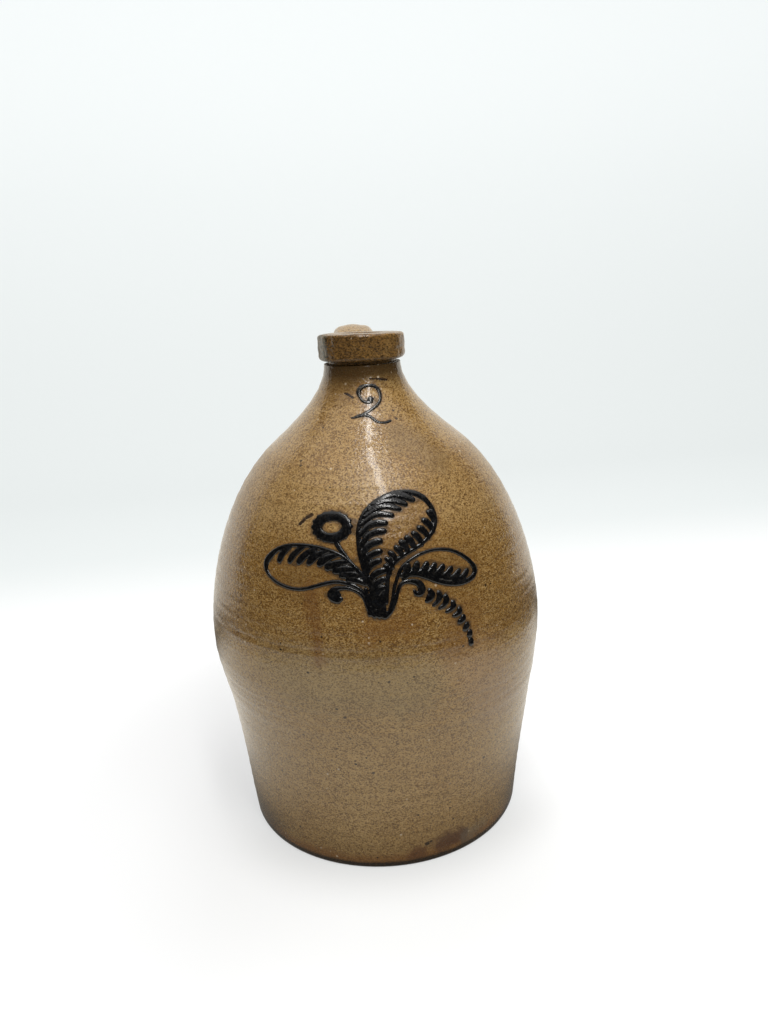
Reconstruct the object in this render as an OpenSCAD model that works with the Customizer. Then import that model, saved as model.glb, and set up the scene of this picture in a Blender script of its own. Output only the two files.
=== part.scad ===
// Two gallon ovoid stoneware jug with a ring collar, a strap handle and a trailed cobalt spray.
// Origin at the centre of the foot, +Z up, the spray on the -Y side and the handle on the +Y side.

/* [Body] */
// Radius of the foot
foot_r = 98; // [90:0.5:104]
// Height of the bevel round the edge of the foot
foot_bevel = 1.4; // [0.6:0.1:3]
// Largest radius, at the belly
belly_r = 116; // [112:0.5:124]
// Height of the belly above the base
belly_z = 142; // [125:1:150]
// Radius where the shoulder turns into the sweep of the neck
shoulder_r = 63; // [60:0.5:67]
// Height of that turn above the base
shoulder_z = 271; // [267:0.5:275]
// Lean of the wall from upright at that turn, in degrees
shoulder_lean = 50; // [46:0.5:53]
// Radius of the neck under the collar
neck_r = 25.5; // [23.5:0.1:26.5]
// Height of the top of the neck, where the collar sits
neck_top_z = 321; // [316:0.5:326]
// Thickness of the thrown wall
wall = 7.5; // [5:0.1:9]
// Thickness of the floor
floor_t = 9.5; // [7:0.5:14]
// Radius of the fillet between floor and wall inside
floor_fillet = 16; // [8:1:24]

/* [Mouth and collar] */
// Radius of the pouring bore through neck and collar
mouth_r = 14; // [11:0.1:16]
// Depth of the round bore below the top of the neck
bore_depth = 16; // [10:0.5:20]
// How far the collar stands out beyond the neck
collar_overhang = 3.5; // [2:0.1:5]
// Height of the collar with its undercut groove
collar_h = 20; // [17:0.1:22]
// Height of the undercut groove
groove_h = 2.2; // [1.5:0.1:3.5]
// Depth of the undercut groove into the neck
groove_d = 3; // [1:0.1:4]
// Rounding of the collar's top outer edge
collar_round = 3; // [2:0.1:5]
// Rounding of the collar's bottom outer edge
collar_tuck = 1.6; // [0.8:0.1:2.4]
// Rounding of the lip into the mouth
lip_round = 2; // [1:0.1:2.6]
// How far the top of the collar rises as a dome
dome_h = 0.5; // [0.2:0.1:1]

/* [Handle] */
// Width of the strap
strap_w = 28; // [24:0.5:34]
// Thickness of the strap
strap_t = 13; // [10:0.5:15]
// Rise of the strap's top above the collar
strap_rise = 3.1; // [0.5:0.1:5]
// How far below the shoulder's turn the strap's foot is pressed on
landing_drop = 27; // [20:0.5:34]
// How far beyond the shoulder's turn the strap swings out
elbow_reach = 14; // [11:0.5:18]
// Depth of the strap's outermost point below the top of the neck
elbow_drop = 22; // [17:0.5:27]
// Gap of the luted joints between strap and clay
lute_gap = 0.1; // [0.05:0.05:0.3]

/* [Cobalt slip] */
// Width of a trailed line
line_w = 2.3; // [1.6:0.1:2.8]
// Height of a trailed line above the clay
slip_h = 1; // [0.6:0.1:1.4]
// Gap between slip and clay
slip_lift = 0.08; // [0.06:0.02:0.2]
// Gap between the end of a barb and the line beside it
slip_gap = 0.35; // [0.2:0.05:0.6]
// Left end, width, foot and height of the left leaf
left_leaf = [-74, 61, 199, 25]; // [-80:0.5:260]
// Left end, width, foot and height of the centre leaf
centre_leaf = [-18.5, 48, 204, 46]; // [-24:0.5:260]
// Left end, width, foot and height of the right leaf
right_leaf = [1.5, 51, 196, 22]; // [-4:0.5:260]
// Left end, width, foot and height of the flower's ring
flower = [-44.5, 24, 225.5, 17]; // [-48:0.5:260]
// Left end, width, foot and height of the left curl and its stem
left_curl = [-37, 17, 192, 11]; // [-42:0.5:260]
// Left end, width, foot and height of the bundle of stems
stem_bundle = [-17, 14, 184, 13]; // [-22:0.5:260]
// Left end, width, foot and height of the tail frond
tail_frond = [3, 42, 160, 34]; // [0:0.5:260]

/* [Hidden] */
$fn = 96;
clay = [0.52, 0.41, 0.30];
collar_clay = [0.47, 0.37, 0.25];
strap_clay = [0.60, 0.49, 0.37];
cobalt = [0.07, 0.08, 0.16];

// How far the wall's curve runs on from each of its turns, as shares of the height between turns
foot_flare_share = 0.66;
foot_reach_share = 0.78;
belly_under_share = 0.13;
belly_over_share = 0.22;
shoulder_under_share = 0.42;
shoulder_over_share = 0.32;
neck_reach_share = 0.38;
// Steps in each stretch of curve
wall_steps = 16;
round_steps = 5;
strap_steps = 11;
// Angle through which the collar's top edge is rounded before the dome takes over
collar_turn = 78;
// Share of the way from collar to elbow at which the strap's arch is highest
arch_share = 0.46;
// How the strap leaves the collar, outwards and upwards, as shares of its thickness
root_pull_share = [0.5, 0.25];
// Share of the strap's width that its ends gain where they are pressed on, and how tightly they do
strap_flare_share = 0.36;
strap_flare_power = 7;
// Share of its thickness that the strap has lost where its foot is smeared down, and how tightly
foot_thin_share = 0.5;
foot_thin_power = 6;
// Depth of the foot under the wall, and how far the strap runs along the wall, as shares of its thickness
foot_sink_share = 0.27;
foot_pull_share = 1.7;
// Roundness of the strap's section: 1 is an oval
strap_corner_share = 0.86;
strap_sides = 20;
// Half of the slice over which the slope of the wall is taken
slope_step = 0.5;
// Height of a narrow slip line as a share of its width
slip_round_share = 0.45;

// Curves
function bezier(a, b, c, d, n) = [for (i = [0:n]) let (t = i / n, s = 1 - t)
    s * s * s * a + 3 * s * s * t * b + 3 * s * t * t * c + t * t * t * d];
function arc(centre, r, from, to, n) = [for (i = [0:n]) let (a = from + (to - from) * i / n)
    centre + r * [cos(a), sin(a)]];
function tail(list) = [for (i = [1:len(list) - 1]) list[i]];
function reversed(list) = [for (i = [len(list) - 1:-1:0]) list[i]];
function unit(v) = v / norm(v);

// A smooth line through points, with steps between each pair
function spline_at(p, i, t) = let (last = len(p) - 1, a = p[max(i - 1, 0)], b = p[i],
    c = p[min(i + 1, last)], d = p[min(i + 2, last)])
    0.5 * (2 * b + (c - a) * t + (2 * a - 5 * b + 4 * c - d) * t * t + (3 * b - a - 3 * c + d) * t * t * t);
function spline(p, steps) = concat(
    [for (i = [0:len(p) - 2], k = [0:steps - 1]) spline_at(p, i, k / steps)], [p[len(p) - 1]]);

// The wall's profile, as [radius, height]
up_lean = [-sin(shoulder_lean), cos(shoulder_lean)];
out_lean = [cos(shoulder_lean), sin(shoulder_lean)];
belly_to_shoulder = shoulder_z - belly_z;
shoulder_to_neck = neck_top_z - shoulder_z;
foot_point = [foot_r, foot_bevel];
belly_point = [belly_r, belly_z];
shoulder_point = [shoulder_r, shoulder_z];
outer_low = bezier(foot_point, [foot_r + foot_flare_share * (belly_r - foot_r), foot_reach_share * belly_z],
    [belly_r, belly_z - belly_under_share * belly_z], belly_point, wall_steps);
outer_mid = bezier(belly_point, [belly_r, belly_z + belly_over_share * belly_to_shoulder],
    shoulder_point - shoulder_under_share * belly_to_shoulder * up_lean, shoulder_point, wall_steps);
outer_high = bezier(shoulder_point, shoulder_point + shoulder_over_share * shoulder_to_neck * up_lean,
    [neck_r, neck_top_z - neck_reach_share * shoulder_to_neck], [neck_r, neck_top_z], wall_steps);
outer = concat(outer_low, tail(outer_mid), tail(outer_high));

// The inside follows the outside at the wall's thickness, then closes to the bore
bore_z = neck_top_z - bore_depth;
inner_start = [foot_r - wall - foot_bevel, floor_t + floor_fillet];
inner_belly = [belly_r - wall, belly_z];
inner_shoulder = shoulder_point - wall * out_lean;
inner_rise = bore_z - inner_shoulder[1];
inner_low = bezier(inner_start,
    [inner_start[0] + foot_flare_share * (inner_belly[0] - inner_start[0]), foot_reach_share * belly_z],
    [inner_belly[0], belly_z - belly_under_share * belly_z], inner_belly, wall_steps);
inner_mid = bezier(inner_belly, [inner_belly[0], belly_z + belly_over_share * belly_to_shoulder],
    inner_shoulder - shoulder_under_share * belly_to_shoulder * up_lean, inner_shoulder, wall_steps);
inner_high = bezier(inner_shoulder, inner_shoulder + shoulder_over_share * shoulder_to_neck * up_lean,
    [mouth_r, bore_z - neck_reach_share * inner_rise], [mouth_r, bore_z], wall_steps);
floor_arc = arc([inner_start[0] - floor_fillet, floor_t + floor_fillet], floor_fillet, -90, 0, round_steps);
inner = concat(floor_arc, tail(inner_low), tail(inner_mid), tail(inner_high));

// Radius and slope of the outside at a height
outer_table = [for (p = outer) [p[1], p[0]]];
function outer_r(z) = lookup(z, outer_table);
function outer_slope(z) = (outer_r(z + slope_step) - outer_r(z - slope_step)) / (2 * slope_step);

// Points and directions on the front of the wall, from an x and a height
function on_wall(x, z) = [x, -sqrt(pow(outer_r(z), 2) - x * x), z];
function wall_normal(x, z) = let (r = outer_r(z), p = on_wall(x, z))
    unit([p[0] / r, p[1] / r, -outer_slope(z)]);

// Solid skins between rings of points that each have the same count
function skin_faces(rings, sides, closed) = concat(
    [for (i = [0:rings - (closed ? 1 : 2)], k = [0:sides - 1], half = [0, 1])
        let (a = i * sides, b = (i + 1) % rings * sides, m = (k + 1) % sides)
        half == 0 ? [a + k, b + m, b + k] : [a + k, a + m, b + m]],
    closed ? [] : [[for (k = [sides - 1:-1:0]) k], [for (k = [0:sides - 1]) (rings - 1) * sides + k]]);
function flattened(rings) = [for (ring = rings, p = ring) p];

// Clay pieces
module thrown_body() {
    color(clay) rotate_extrude() polygon(concat(
        [[0, 0], [foot_r - foot_bevel, 0]], outer, reversed(inner), [[0, floor_t]]));
}

// The collar overhangs the neck above a groove that is cut into it
collar_r = neck_r + collar_overhang;
collar_top = neck_top_z + collar_h;
collar_low = neck_top_z + groove_h;
module collar() {
    dome_r = collar_r - collar_round;
    groove_r = neck_r - groove_d;
    color(collar_clay) rotate_extrude() polygon(concat(
        [[mouth_r, neck_top_z], [groove_r, neck_top_z], [groove_r, collar_low]],
        arc([collar_r - collar_tuck, collar_low + collar_tuck], collar_tuck, -90, 0, round_steps),
        arc([dome_r, collar_top - dome_h - collar_round], collar_round, 0, collar_turn, round_steps),
        [[(dome_r + mouth_r + lip_round) / 2, collar_top]],
        arc([mouth_r + lip_round, collar_top - dome_h - lip_round], lip_round, 90, 180, round_steps)));
}

// The strap's centreline in the YZ plane, from inside the collar over the arch to inside the shoulder
landing_z = shoulder_z - landing_drop;
landing_out = unit([1, -outer_slope(landing_z)]);
landing_up = [-landing_out[1], landing_out[0]];
landing_point = [outer_r(landing_z), landing_z] - foot_sink_share * strap_t * landing_out;
elbow_point = [shoulder_r + elbow_reach, neck_top_z - elbow_drop];
arch_y = collar_r + arch_share * (elbow_point[0] - collar_r);
arch_point = [arch_y, collar_top + strap_rise - strap_t / 2];
root_point = [(mouth_r + collar_r) / 2, collar_top - strap_t];
strap_line = concat(
    bezier(root_point, root_point + strap_t * root_pull_share, arch_point - [strap_t, 0],
        arch_point, strap_steps),
    tail(bezier(arch_point, arch_point + [strap_t, 0], elbow_point + [0, strap_t],
        elbow_point, strap_steps)),
    tail(bezier(elbow_point, elbow_point - [0, foot_pull_share * strap_t],
        landing_point + foot_pull_share * strap_t * landing_up, landing_point, strap_steps)));

function strap_ring(i) = let (last = len(strap_line) - 1, p = strap_line[i],
    along = unit(strap_line[min(i + 1, last)] - strap_line[max(i - 1, 0)]), out = [-along[1], along[0]],
    flare = 1 + strap_flare_share * pow(abs(2 * i / last - 1), strap_flare_power),
    thin = 1 - foot_thin_share * pow(i / last, foot_thin_power))
    [for (k = [0:strap_sides - 1]) let (a = 360 * k / strap_sides, c = cos(a), s = sin(a),
        x = flare * strap_w / 2 * sign(c) * pow(abs(c), strap_corner_share),
        n = thin * strap_t / 2 * sign(s) * pow(abs(s), strap_corner_share))
        [x, p[0] + n * out[0], p[1] + n * out[1]]];

// Everything inside the outside of the body and collar, grown by the luted gap. It bridges the groove.
module clay_envelope() {
    rotate_extrude() polygon(concat([[0, 0], [foot_r, 0]],
        [for (p = outer) p + [lute_gap / cos(shoulder_lean), 0]],
        [[collar_r + lute_gap, collar_low - lute_gap],
        [collar_r + lute_gap, collar_top + strap_t], [0, collar_top + strap_t]]));
}
module strap_handle() {
    rings = [for (i = [0:len(strap_line) - 1]) strap_ring(i)];
    color(strap_clay) difference() {
        polyhedron(flattened(rings), skin_faces(len(rings), strap_sides, false));
        clay_envelope();
    }
}

// One trailed line along [x, height, width] points on the wall, with a rounded back
slip_profile_shares = [[-0.5, 0], [-0.4, 0.66], [0, 1], [0.4, 0.66], [0.5, 0]];
function slip_ring(p, along) = let (n = wall_normal(p[0], p[1]), side = unit(cross(n, along)),
    h = min(slip_h, slip_round_share * p[2]), base = on_wall(p[0], p[1]) + slip_lift * n)
    [for (s = slip_profile_shares) base + s[0] * p[2] * side + s[1] * h * n];
function place(p) = on_wall(p[0], p[1]);
module trailed(path, closed = false) {
    n = len(path);
    rings = [for (i = [0:n - 1]) let (
        a = place(path[closed ? (i + n - 1) % n : max(i - 1, 0)]),
        b = place(path[closed ? (i + 1) % n : min(i + 1, n - 1)]))
        slip_ring(path[i], unit(b - a))];
    polyhedron(flattened(rings), skin_faces(n, len(slip_profile_shares), closed));
}

// A motif's shares of its box, with the third share that of the line's width, as points on the wall
function in_box(box, s) = [box[0] + s[0] * box[1], box[2] + s[1] * box[3], s[2] * line_w];
function motif(box, shares, steps) = spline([for (s = shares) in_box(box, s)], steps);

// A barb: a comma of slip that bows and thins as it runs from its tip to the line at its root
barb_width_shares = [0.7, 1.22, 1.2, 1, 0.75, 0.5];
barb_clear_share = 1.05;
module barb(box, s, bow_share) {
    tip = in_box(box, [s[0], s[1], 1]);
    line = in_box(box, [s[2], s[3], 1]);
    reach = [line[0] - tip[0], line[1] - tip[1]];
    bow = bow_share * [-reach[1], reach[0]];
    clear = (barb_clear_share * line_w + slip_gap) / norm(reach);
    last = len(barb_width_shares) - 1;
    trailed([for (i = [0:last]) let (t = (1 - clear) * i / last)
        [tip[0] + reach[0] * t + bow[0] * sin(180 * t), tip[1] + reach[1] * t + bow[1] * sin(180 * t),
        line_w * barb_width_shares[i]]]);
}

// Left leaf: an outline that ends at the stems, and barbs that hang from its upper edge
left_leaf_shares = [[0.99, 0.02, 0.7], [0.94, 0.28, 1], [0.88, 0.48, 1], [0.8, 0.66, 1], [0.7, 0.79, 1],
    [0.6, 0.9, 1], [0.48, 0.98, 1], [0.36, 0.99, 1], [0.24, 0.94, 1], [0.14, 0.85, 1.1], [0.06, 0.69, 1.2],
    [0, 0.43, 1.3], [0.03, 0.22, 1.2], [0.1, 0.06, 1], [0.19, 0, 1], [0.31, 0.01, 1], [0.43, 0.07, 1],
    [0.55, 0.17, 1], [0.67, 0.23, 1], [0.78, 0.22, 1], [0.86, 0.13, 0.8], [0.9, 0, 0.6]];
left_barb_shares = [[0.13, 0.53, 0.23, 0.92], [0.22, 0.56, 0.33, 0.97], [0.31, 0.57, 0.43, 0.99],
    [0.4, 0.56, 0.53, 0.96], [0.49, 0.54, 0.62, 0.88], [0.58, 0.5, 0.71, 0.78], [0.67, 0.44, 0.8, 0.65],
    [0.76, 0.36, 0.87, 0.5]];
left_bow_share = -0.1;
module cobalt_left_leaf() {
    color(cobalt) {
        trailed(motif(left_leaf, left_leaf_shares, 2));
        for (s = left_barb_shares) barb(left_leaf, s, left_bow_share);
    }
}

// Centre leaf: an open outline with barbs from both edges
centre_leaf_shares = [[0.11, 0, 0.6], [0.05, 0.14, 0.8], [0.01, 0.3, 1], [0, 0.46, 1], [0.03, 0.64, 1],
    [0.09, 0.78, 1], [0.18, 0.89, 1], [0.29, 0.96, 1], [0.42, 1, 1], [0.56, 1, 1], [0.7, 0.98, 1.1],
    [0.83, 0.94, 1.1], [0.92, 0.85, 1.2], [0.98, 0.75, 1.2], [0.99, 0.64, 1.1], [0.94, 0.53, 1], [0.85, 0.44, 1],
    [0.72, 0.37, 1], [0.58, 0.32, 1], [0.46, 0.24, 0.9], [0.36, 0.12, 0.8], [0.3, 0, 0.8],
    [0.26, -0.1, 0.6]];
centre_left_barb_shares = [[0.72, 0.89, 0.28, 0.87], [0.62, 0.83, 0.16, 0.75], [0.54, 0.77, 0.08, 0.63],
    [0.46, 0.71, 0.04, 0.54], [0.4, 0.62, 0.02, 0.43], [0.35, 0.53, 0.02, 0.32], [0.3, 0.43, 0.03, 0.21],
    [0.27, 0.33, 0.07, 0.12], [0.25, 0.23, 0.11, 0.04]];
centre_left_bow_share = -0.14;
centre_right_barb_shares = [[0.87, 0.79, 0.95, 0.66], [0.81, 0.72, 0.95, 0.55], [0.74, 0.65, 0.88, 0.46],
    [0.66, 0.59, 0.79, 0.4], [0.58, 0.53, 0.69, 0.35], [0.5, 0.46, 0.6, 0.31], [0.43, 0.38, 0.51, 0.26]];
centre_right_bow_share = 0.1;
module cobalt_centre_leaf() {
    color(cobalt) {
        trailed(motif(centre_leaf, centre_leaf_shares, 2));
        for (s = centre_left_barb_shares) barb(centre_leaf, s, centre_left_bow_share);
        for (s = centre_right_barb_shares) barb(centre_leaf, s, centre_right_bow_share);
    }
}

// Right leaf: an outline with barbs that rise from its lower edge
right_leaf_shares = [[0, 0.1, 0.6], [0.05, 0.4, 0.8], [0.13, 0.68, 1], [0.22, 0.86, 1], [0.33, 0.96, 1],
    [0.45, 1, 1], [0.57, 0.98, 1], [0.68, 0.92, 1], [0.78, 0.8, 1.1], [0.88, 0.64, 1.1], [0.96, 0.43, 1.2],
    [0.99, 0.22, 1.2], [0.95, 0.08, 1.2], [0.87, 0.01, 1], [0.76, 0, 1], [0.65, 0.06, 1], [0.54, 0.15, 1],
    [0.44, 0.27, 1], [0.34, 0.38, 0.9], [0.24, 0.43, 0.7]];
right_barb_shares = [[0.21, 0.72, 0.3, 0.42], [0.3, 0.72, 0.4, 0.33], [0.4, 0.69, 0.5, 0.23],
    [0.49, 0.63, 0.59, 0.14], [0.59, 0.56, 0.68, 0.07], [0.68, 0.48, 0.77, 0.02], [0.77, 0.4, 0.86, 0.02],
    [0.86, 0.34, 0.93, 0.08]];
right_bow_share = 0.08;
module cobalt_right_leaf() {
    color(cobalt) {
        trailed(motif(right_leaf, right_leaf_shares, 2));
        for (s = right_barb_shares) barb(right_leaf, s, right_bow_share);
    }
}

// Flower: a fat ring whose width swells at each petal, and the stem that curves down from it
petal_count = 15;
petal_steps = 4;
ring_radius_share = 0.7;
ring_width_share = 2.5;
petal_swell_share = 0.12;
flower_stem_shares = [[0.59, -0.1, 0.7], [0.64, -0.2, 1], [0.69, -0.3, 1], [0.74, -0.36, 0.7]];
module cobalt_flower() {
    steps = petal_count * petal_steps;
    color(cobalt) {
        trailed([for (i = [0:steps - 1]) let (a = 360 * i / steps) [
            flower[0] + flower[1] / 2 * (1 + ring_radius_share * cos(a)),
            flower[2] + flower[3] / 2 * (1 + ring_radius_share * sin(a)),
            line_w * ring_width_share * (1 + petal_swell_share * cos(petal_count * a))]], true);
        trailed(motif(flower, flower_stem_shares, 2));
    }
}

// Left curl: a round drop on a short stem
left_curl_shares = [[0.02, 0.42, 0.8], [0.1, 0.42, 2.6], [0.2, 0.42, 3.4], [0.3, 0.42, 2.6], [0.38, 0.42, 0.8]];
left_curl_stem_shares = [[0.42, 0.86, 0.6], [0.6, 0.8, 1], [0.78, 0.6, 1], [0.92, 0.28, 0.9], [1, -0.1, 0.6]];
module cobalt_left_curl() {
    color(cobalt) {
        trailed(motif(left_curl, left_curl_shares, 1));
        trailed(motif(left_curl, left_curl_stem_shares, 2));
    }
}

// Stem bundle: stems side by side that draw together at the foot
stem_count = 4;
stem_foot_share = 0.8;
stem_drop_share = 0.12;
stem_width_shares = [0.7, 1, 1.15, 1.15, 1, 0.7];
module cobalt_stem_bundle() {
    pitch = stem_bundle[1] / stem_count;
    last = len(stem_width_shares) - 1;
    color(cobalt) for (i = [0:stem_count - 1]) let (x = stem_bundle[0] + pitch * (i + 0.5),
        foot_x = stem_bundle[0] + stem_bundle[1] / 2 + (i + 0.5 - stem_count / 2) * pitch * stem_foot_share,
        rise = stem_bundle[3] * (1 - stem_drop_share * i))
        trailed([for (k = [0:last]) let (t = k / last)
            [foot_x + (x - foot_x) * t, stem_bundle[2] + rise * t, line_w * stem_width_shares[k]]]);
}

// Tail frond: a hooked stem, and drops that shrink as they run down the belly
tail_stem_shares = [[0, 0.97, 0.6], [0.02, 1.1, 0.9], [0.07, 1.24, 1], [0.2, 1.28, 1], [0.3, 1.14, 1],
    [0.27, 1.02, 1.2]];
// Each drop's place, its width across the frond's run and its length along it
tail_drop_shares = [[0.44, 1, 3.1, 1.5], [0.54, 0.95, 3, 1.5], [0.63, 0.88, 2.8, 1.5], [0.71, 0.8, 2.6, 1.5],
    [0.79, 0.72, 2.4, 1.45], [0.85, 0.62, 2.1, 1.4], [0.9, 0.51, 1.8, 1.35], [0.93, 0.4, 1.5, 1.35],
    [0.96, 0.28, 1.3, 1.3], [0.98, 0.17, 1.2, 1.3], [1, 0.06, 1.1, 1.2]];
drop_width_shares = [0.45, 0.9, 1, 0.9, 0.45];
module slip_drop(p, run, length) {
    last = len(drop_width_shares) - 1;
    trailed([for (i = [0:last]) let (t = (i / last - 0.5) * length)
        [p[0] + run[0] * t, p[1] + run[1] * t, p[2] * drop_width_shares[i]]]);
}
module cobalt_tail_frond() {
    color(cobalt) {
        trailed(motif(tail_frond, tail_stem_shares, 2));
        for (i = [0:len(tail_drop_shares) - 1]) let (s = tail_drop_shares[i],
            before = in_box(tail_frond, tail_drop_shares[max(i - 1, 0)]),
            after = in_box(tail_frond, tail_drop_shares[min(i + 1, len(tail_drop_shares) - 1)]))
            slip_drop(in_box(tail_frond, s), unit([after[0] - before[0], after[1] - before[1]]),
                line_w * s[3]);
    }
}

thrown_body();
collar();
strap_handle();
cobalt_left_leaf();
cobalt_centre_leaf();
cobalt_right_leaf();
cobalt_flower();
cobalt_left_curl();
cobalt_stem_bundle();
cobalt_tail_frond();
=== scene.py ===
"""Salt-glazed stoneware jug: clay forms, trailed cobalt slip, glaze finishes and the studio round them."""

import math

import bpy
import numpy as np
from bpy.props import FloatProperty, FloatVectorProperty, PointerProperty
from mathutils import Matrix, Vector


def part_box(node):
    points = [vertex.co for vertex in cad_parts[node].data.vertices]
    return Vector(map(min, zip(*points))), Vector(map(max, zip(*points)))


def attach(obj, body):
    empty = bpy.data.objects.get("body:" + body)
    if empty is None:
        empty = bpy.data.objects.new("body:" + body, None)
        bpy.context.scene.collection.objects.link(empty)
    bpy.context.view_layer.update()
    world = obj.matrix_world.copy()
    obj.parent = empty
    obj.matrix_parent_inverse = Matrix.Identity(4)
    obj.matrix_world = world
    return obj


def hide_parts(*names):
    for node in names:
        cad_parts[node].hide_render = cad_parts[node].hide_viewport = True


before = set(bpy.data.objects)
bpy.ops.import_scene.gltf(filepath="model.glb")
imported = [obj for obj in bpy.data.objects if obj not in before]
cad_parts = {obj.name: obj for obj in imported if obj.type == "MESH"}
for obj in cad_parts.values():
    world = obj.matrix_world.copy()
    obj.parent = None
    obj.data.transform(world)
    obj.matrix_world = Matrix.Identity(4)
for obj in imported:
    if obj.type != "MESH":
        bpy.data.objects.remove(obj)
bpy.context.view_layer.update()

bl_info = {
    "name": "Stoneware jug",
    "version": (1, 0, 0),
    "blender": (4, 5, 0),
    "location": "3D View > Sidebar > Jug",
    "description": "Throws, handles, decorates and glazes a two gallon stoneware jug",
    "category": "Object",
}

MM = 0.001
BODY = "root"
BODY_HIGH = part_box("thrown_body")[1]
COLLAR_LOW, COLLAR_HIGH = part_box("collar")
STRAP_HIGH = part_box("strap_handle")[1]

# The spray, as it lies on the front of the jug: x and height in millimetres, then the line's width
# as a share of the usual width.
LEFT_LEAF_LINE = (
    (-12, 197, 0.8), (-14, 202, 1.0), (-17.6, 207.6, 1.1), (-22, 213, 1.0), (-27, 217.6, 0.95),
    (-33, 220.6, 0.9), (-40, 222.6, 0.85), (-47, 223.4, 0.85), (-54, 223.2, 0.85), (-60, 222, 0.9),
    (-65.4, 219.4, 1.05), (-70, 215.2, 1.45), (-73, 210.8, 1.45), (-73.1, 206.6, 1.1), (-71, 203.4, 0.85),
    (-67, 200.8, 0.8), (-61, 199.1, 0.75), (-55, 198.9, 0.75), (-49.5, 200, 0.8), (-44, 201.8, 0.85),
    (-38, 203.6, 0.9), (-32, 204.4, 0.95), (-26, 203.2, 1.0), (-21, 201, 1.0), (-17, 197, 1.0),
    (-14.5, 191, 1.0),
)
# A barb's tip, the place where it meets the line, and its width
LEFT_LEAF_BARBS = (
    (-65, 213.6, -57.6, 222.2, 1.3), (-58.9, 214, -50.2, 222.4, 1.2), (-53.5, 214, -43, 222, 1.3),
    (-47.7, 214.1, -36.5, 221.3, 1.3), (-41.6, 213.9, -31, 219.2, 1.4), (-37.2, 212, -25, 215.4, 1.4),
    (-33, 210.2, -21.5, 211.4, 1.3), (-29.4, 208, -18.6, 207.6, 1.35), (-25.8, 205.9, -16.4, 203, 1.3),
)
CENTRE_LEAF_LINE = (
    (-10, 189, 0.9), (-12, 196, 0.9), (-14, 204, 0.9), (-16.3, 211, 1.0), (-17.6, 218, 1.1), (-18, 225, 1.1),
    (-17.4, 232, 1.05), (-15.2, 238, 0.95), (-11.4, 243, 0.85), (-6, 247, 0.7), (0, 249.6, 0.6),
    (6, 250.9, 0.65), (12, 250.7, 0.85), (18, 249.2, 1.25), (23, 246.4, 1.35), (26.6, 242.6, 1.1),
    (28.8, 238, 1.1), (29, 233, 1.25), (27.4, 228.6, 1.15), (23.6, 224.9, 1.0), (18.5, 221.7, 0.95),
    (13, 219.4, 0.95), (8, 217.4, 1.0), (3.5, 214.9, 1.0), (0, 211.8, 1.0), (-2.7, 206.8, 1.0),
    (-4, 200, 1.0), (-5, 192, 0.9),
)
CENTRE_LEFT_BARBS = (
    (16.8, 245.8, -7, 245.2, 1.3), (12.2, 243.9, -10, 242.2, 1.1), (8, 241.8, -12.6, 239, 1.1),
    (3.2, 238.9, -15, 235, 1.15), (-1.4, 235.2, -16.4, 229.6, 1.35), (-2.6, 231, -16.8, 223.8, 1.3),
    (-5.5, 225.9, -16.8, 218, 1.35), (-6.2, 220.3, -16.4, 212.4, 1.3), (-7, 215.4, -15.4, 207.8, 1.3),
    (-5, 209.8, -14, 203, 1.35), (-5.4, 205, -12.4, 198, 1.3), (-6, 200.5, -11, 193, 1.2),
)
CENTRE_RIGHT_BARBS = (
    (25.9, 238, 28.6, 231.6, 1.25), (22.2, 234.2, 27, 227.6, 1.25), (18.8, 230.6, 23.6, 224.4, 1.25),
    (15, 228, 19.2, 221.6, 1.25), (10.6, 226.2, 14.6, 219.8, 1.3), (6.9, 224.3, 10.4, 218.2, 1.25),
    (3.6, 221.7, 6.6, 216.4, 1.2), (-0.2, 219, 3, 214.2, 1.15), (-2.6, 216, 0.4, 211.2, 1.1),
    (-3.8, 212.4, -1.4, 207.6, 1.0),
)
RIGHT_LEAF_LINE = (
    (-4, 186, 0.9), (-1.4, 193, 0.8), (0.2, 199.5, 0.8), (2.4, 205, 0.8), (5.2, 209.8, 0.8), (9, 213, 0.75),
    (14, 215.4, 0.75), (19.5, 217, 0.75), (26, 217.6, 0.7), (32.5, 216.8, 0.75), (38.8, 214.6, 0.8),
    (44.4, 211, 0.9), (48.8, 206.8, 1.05), (51.7, 202, 1.3), (50.6, 198.4, 1.3), (46.8, 196.7, 1.2),
    (41.5, 196.1, 1.1), (36, 196.8, 1.0), (30.5, 198.4, 1.0), (25, 200.8, 1.0), (20, 203.4, 1.05),
    (14.5, 205.7, 1.1), (9.4, 205.9, 1.0), (6, 203.9, 0.9),
)
RIGHT_BARBS = (
    (9.4, 211.4, 5.4, 206, 1.3), (15, 211.4, 8.8, 206.4, 1.35), (20.8, 210.4, 13.4, 206.4, 1.35),
    (25.6, 209.1, 17.4, 205.6, 1.35), (30.6, 207.4, 21.4, 204.6, 1.4), (35.8, 205.3, 25.4, 202.8, 1.3),
    (41, 203.1, 30.4, 201, 1.2), (46.2, 201.9, 36, 199, 1.25),
)
FLOWER_CENTRE = (-32.4, 234)
FLOWER_RADII = (8.6, 5.7)
FLOWER_TILT = math.radians(10)
FLOWER_PETALS = 16
FLOWER_RING = 2.2
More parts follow.
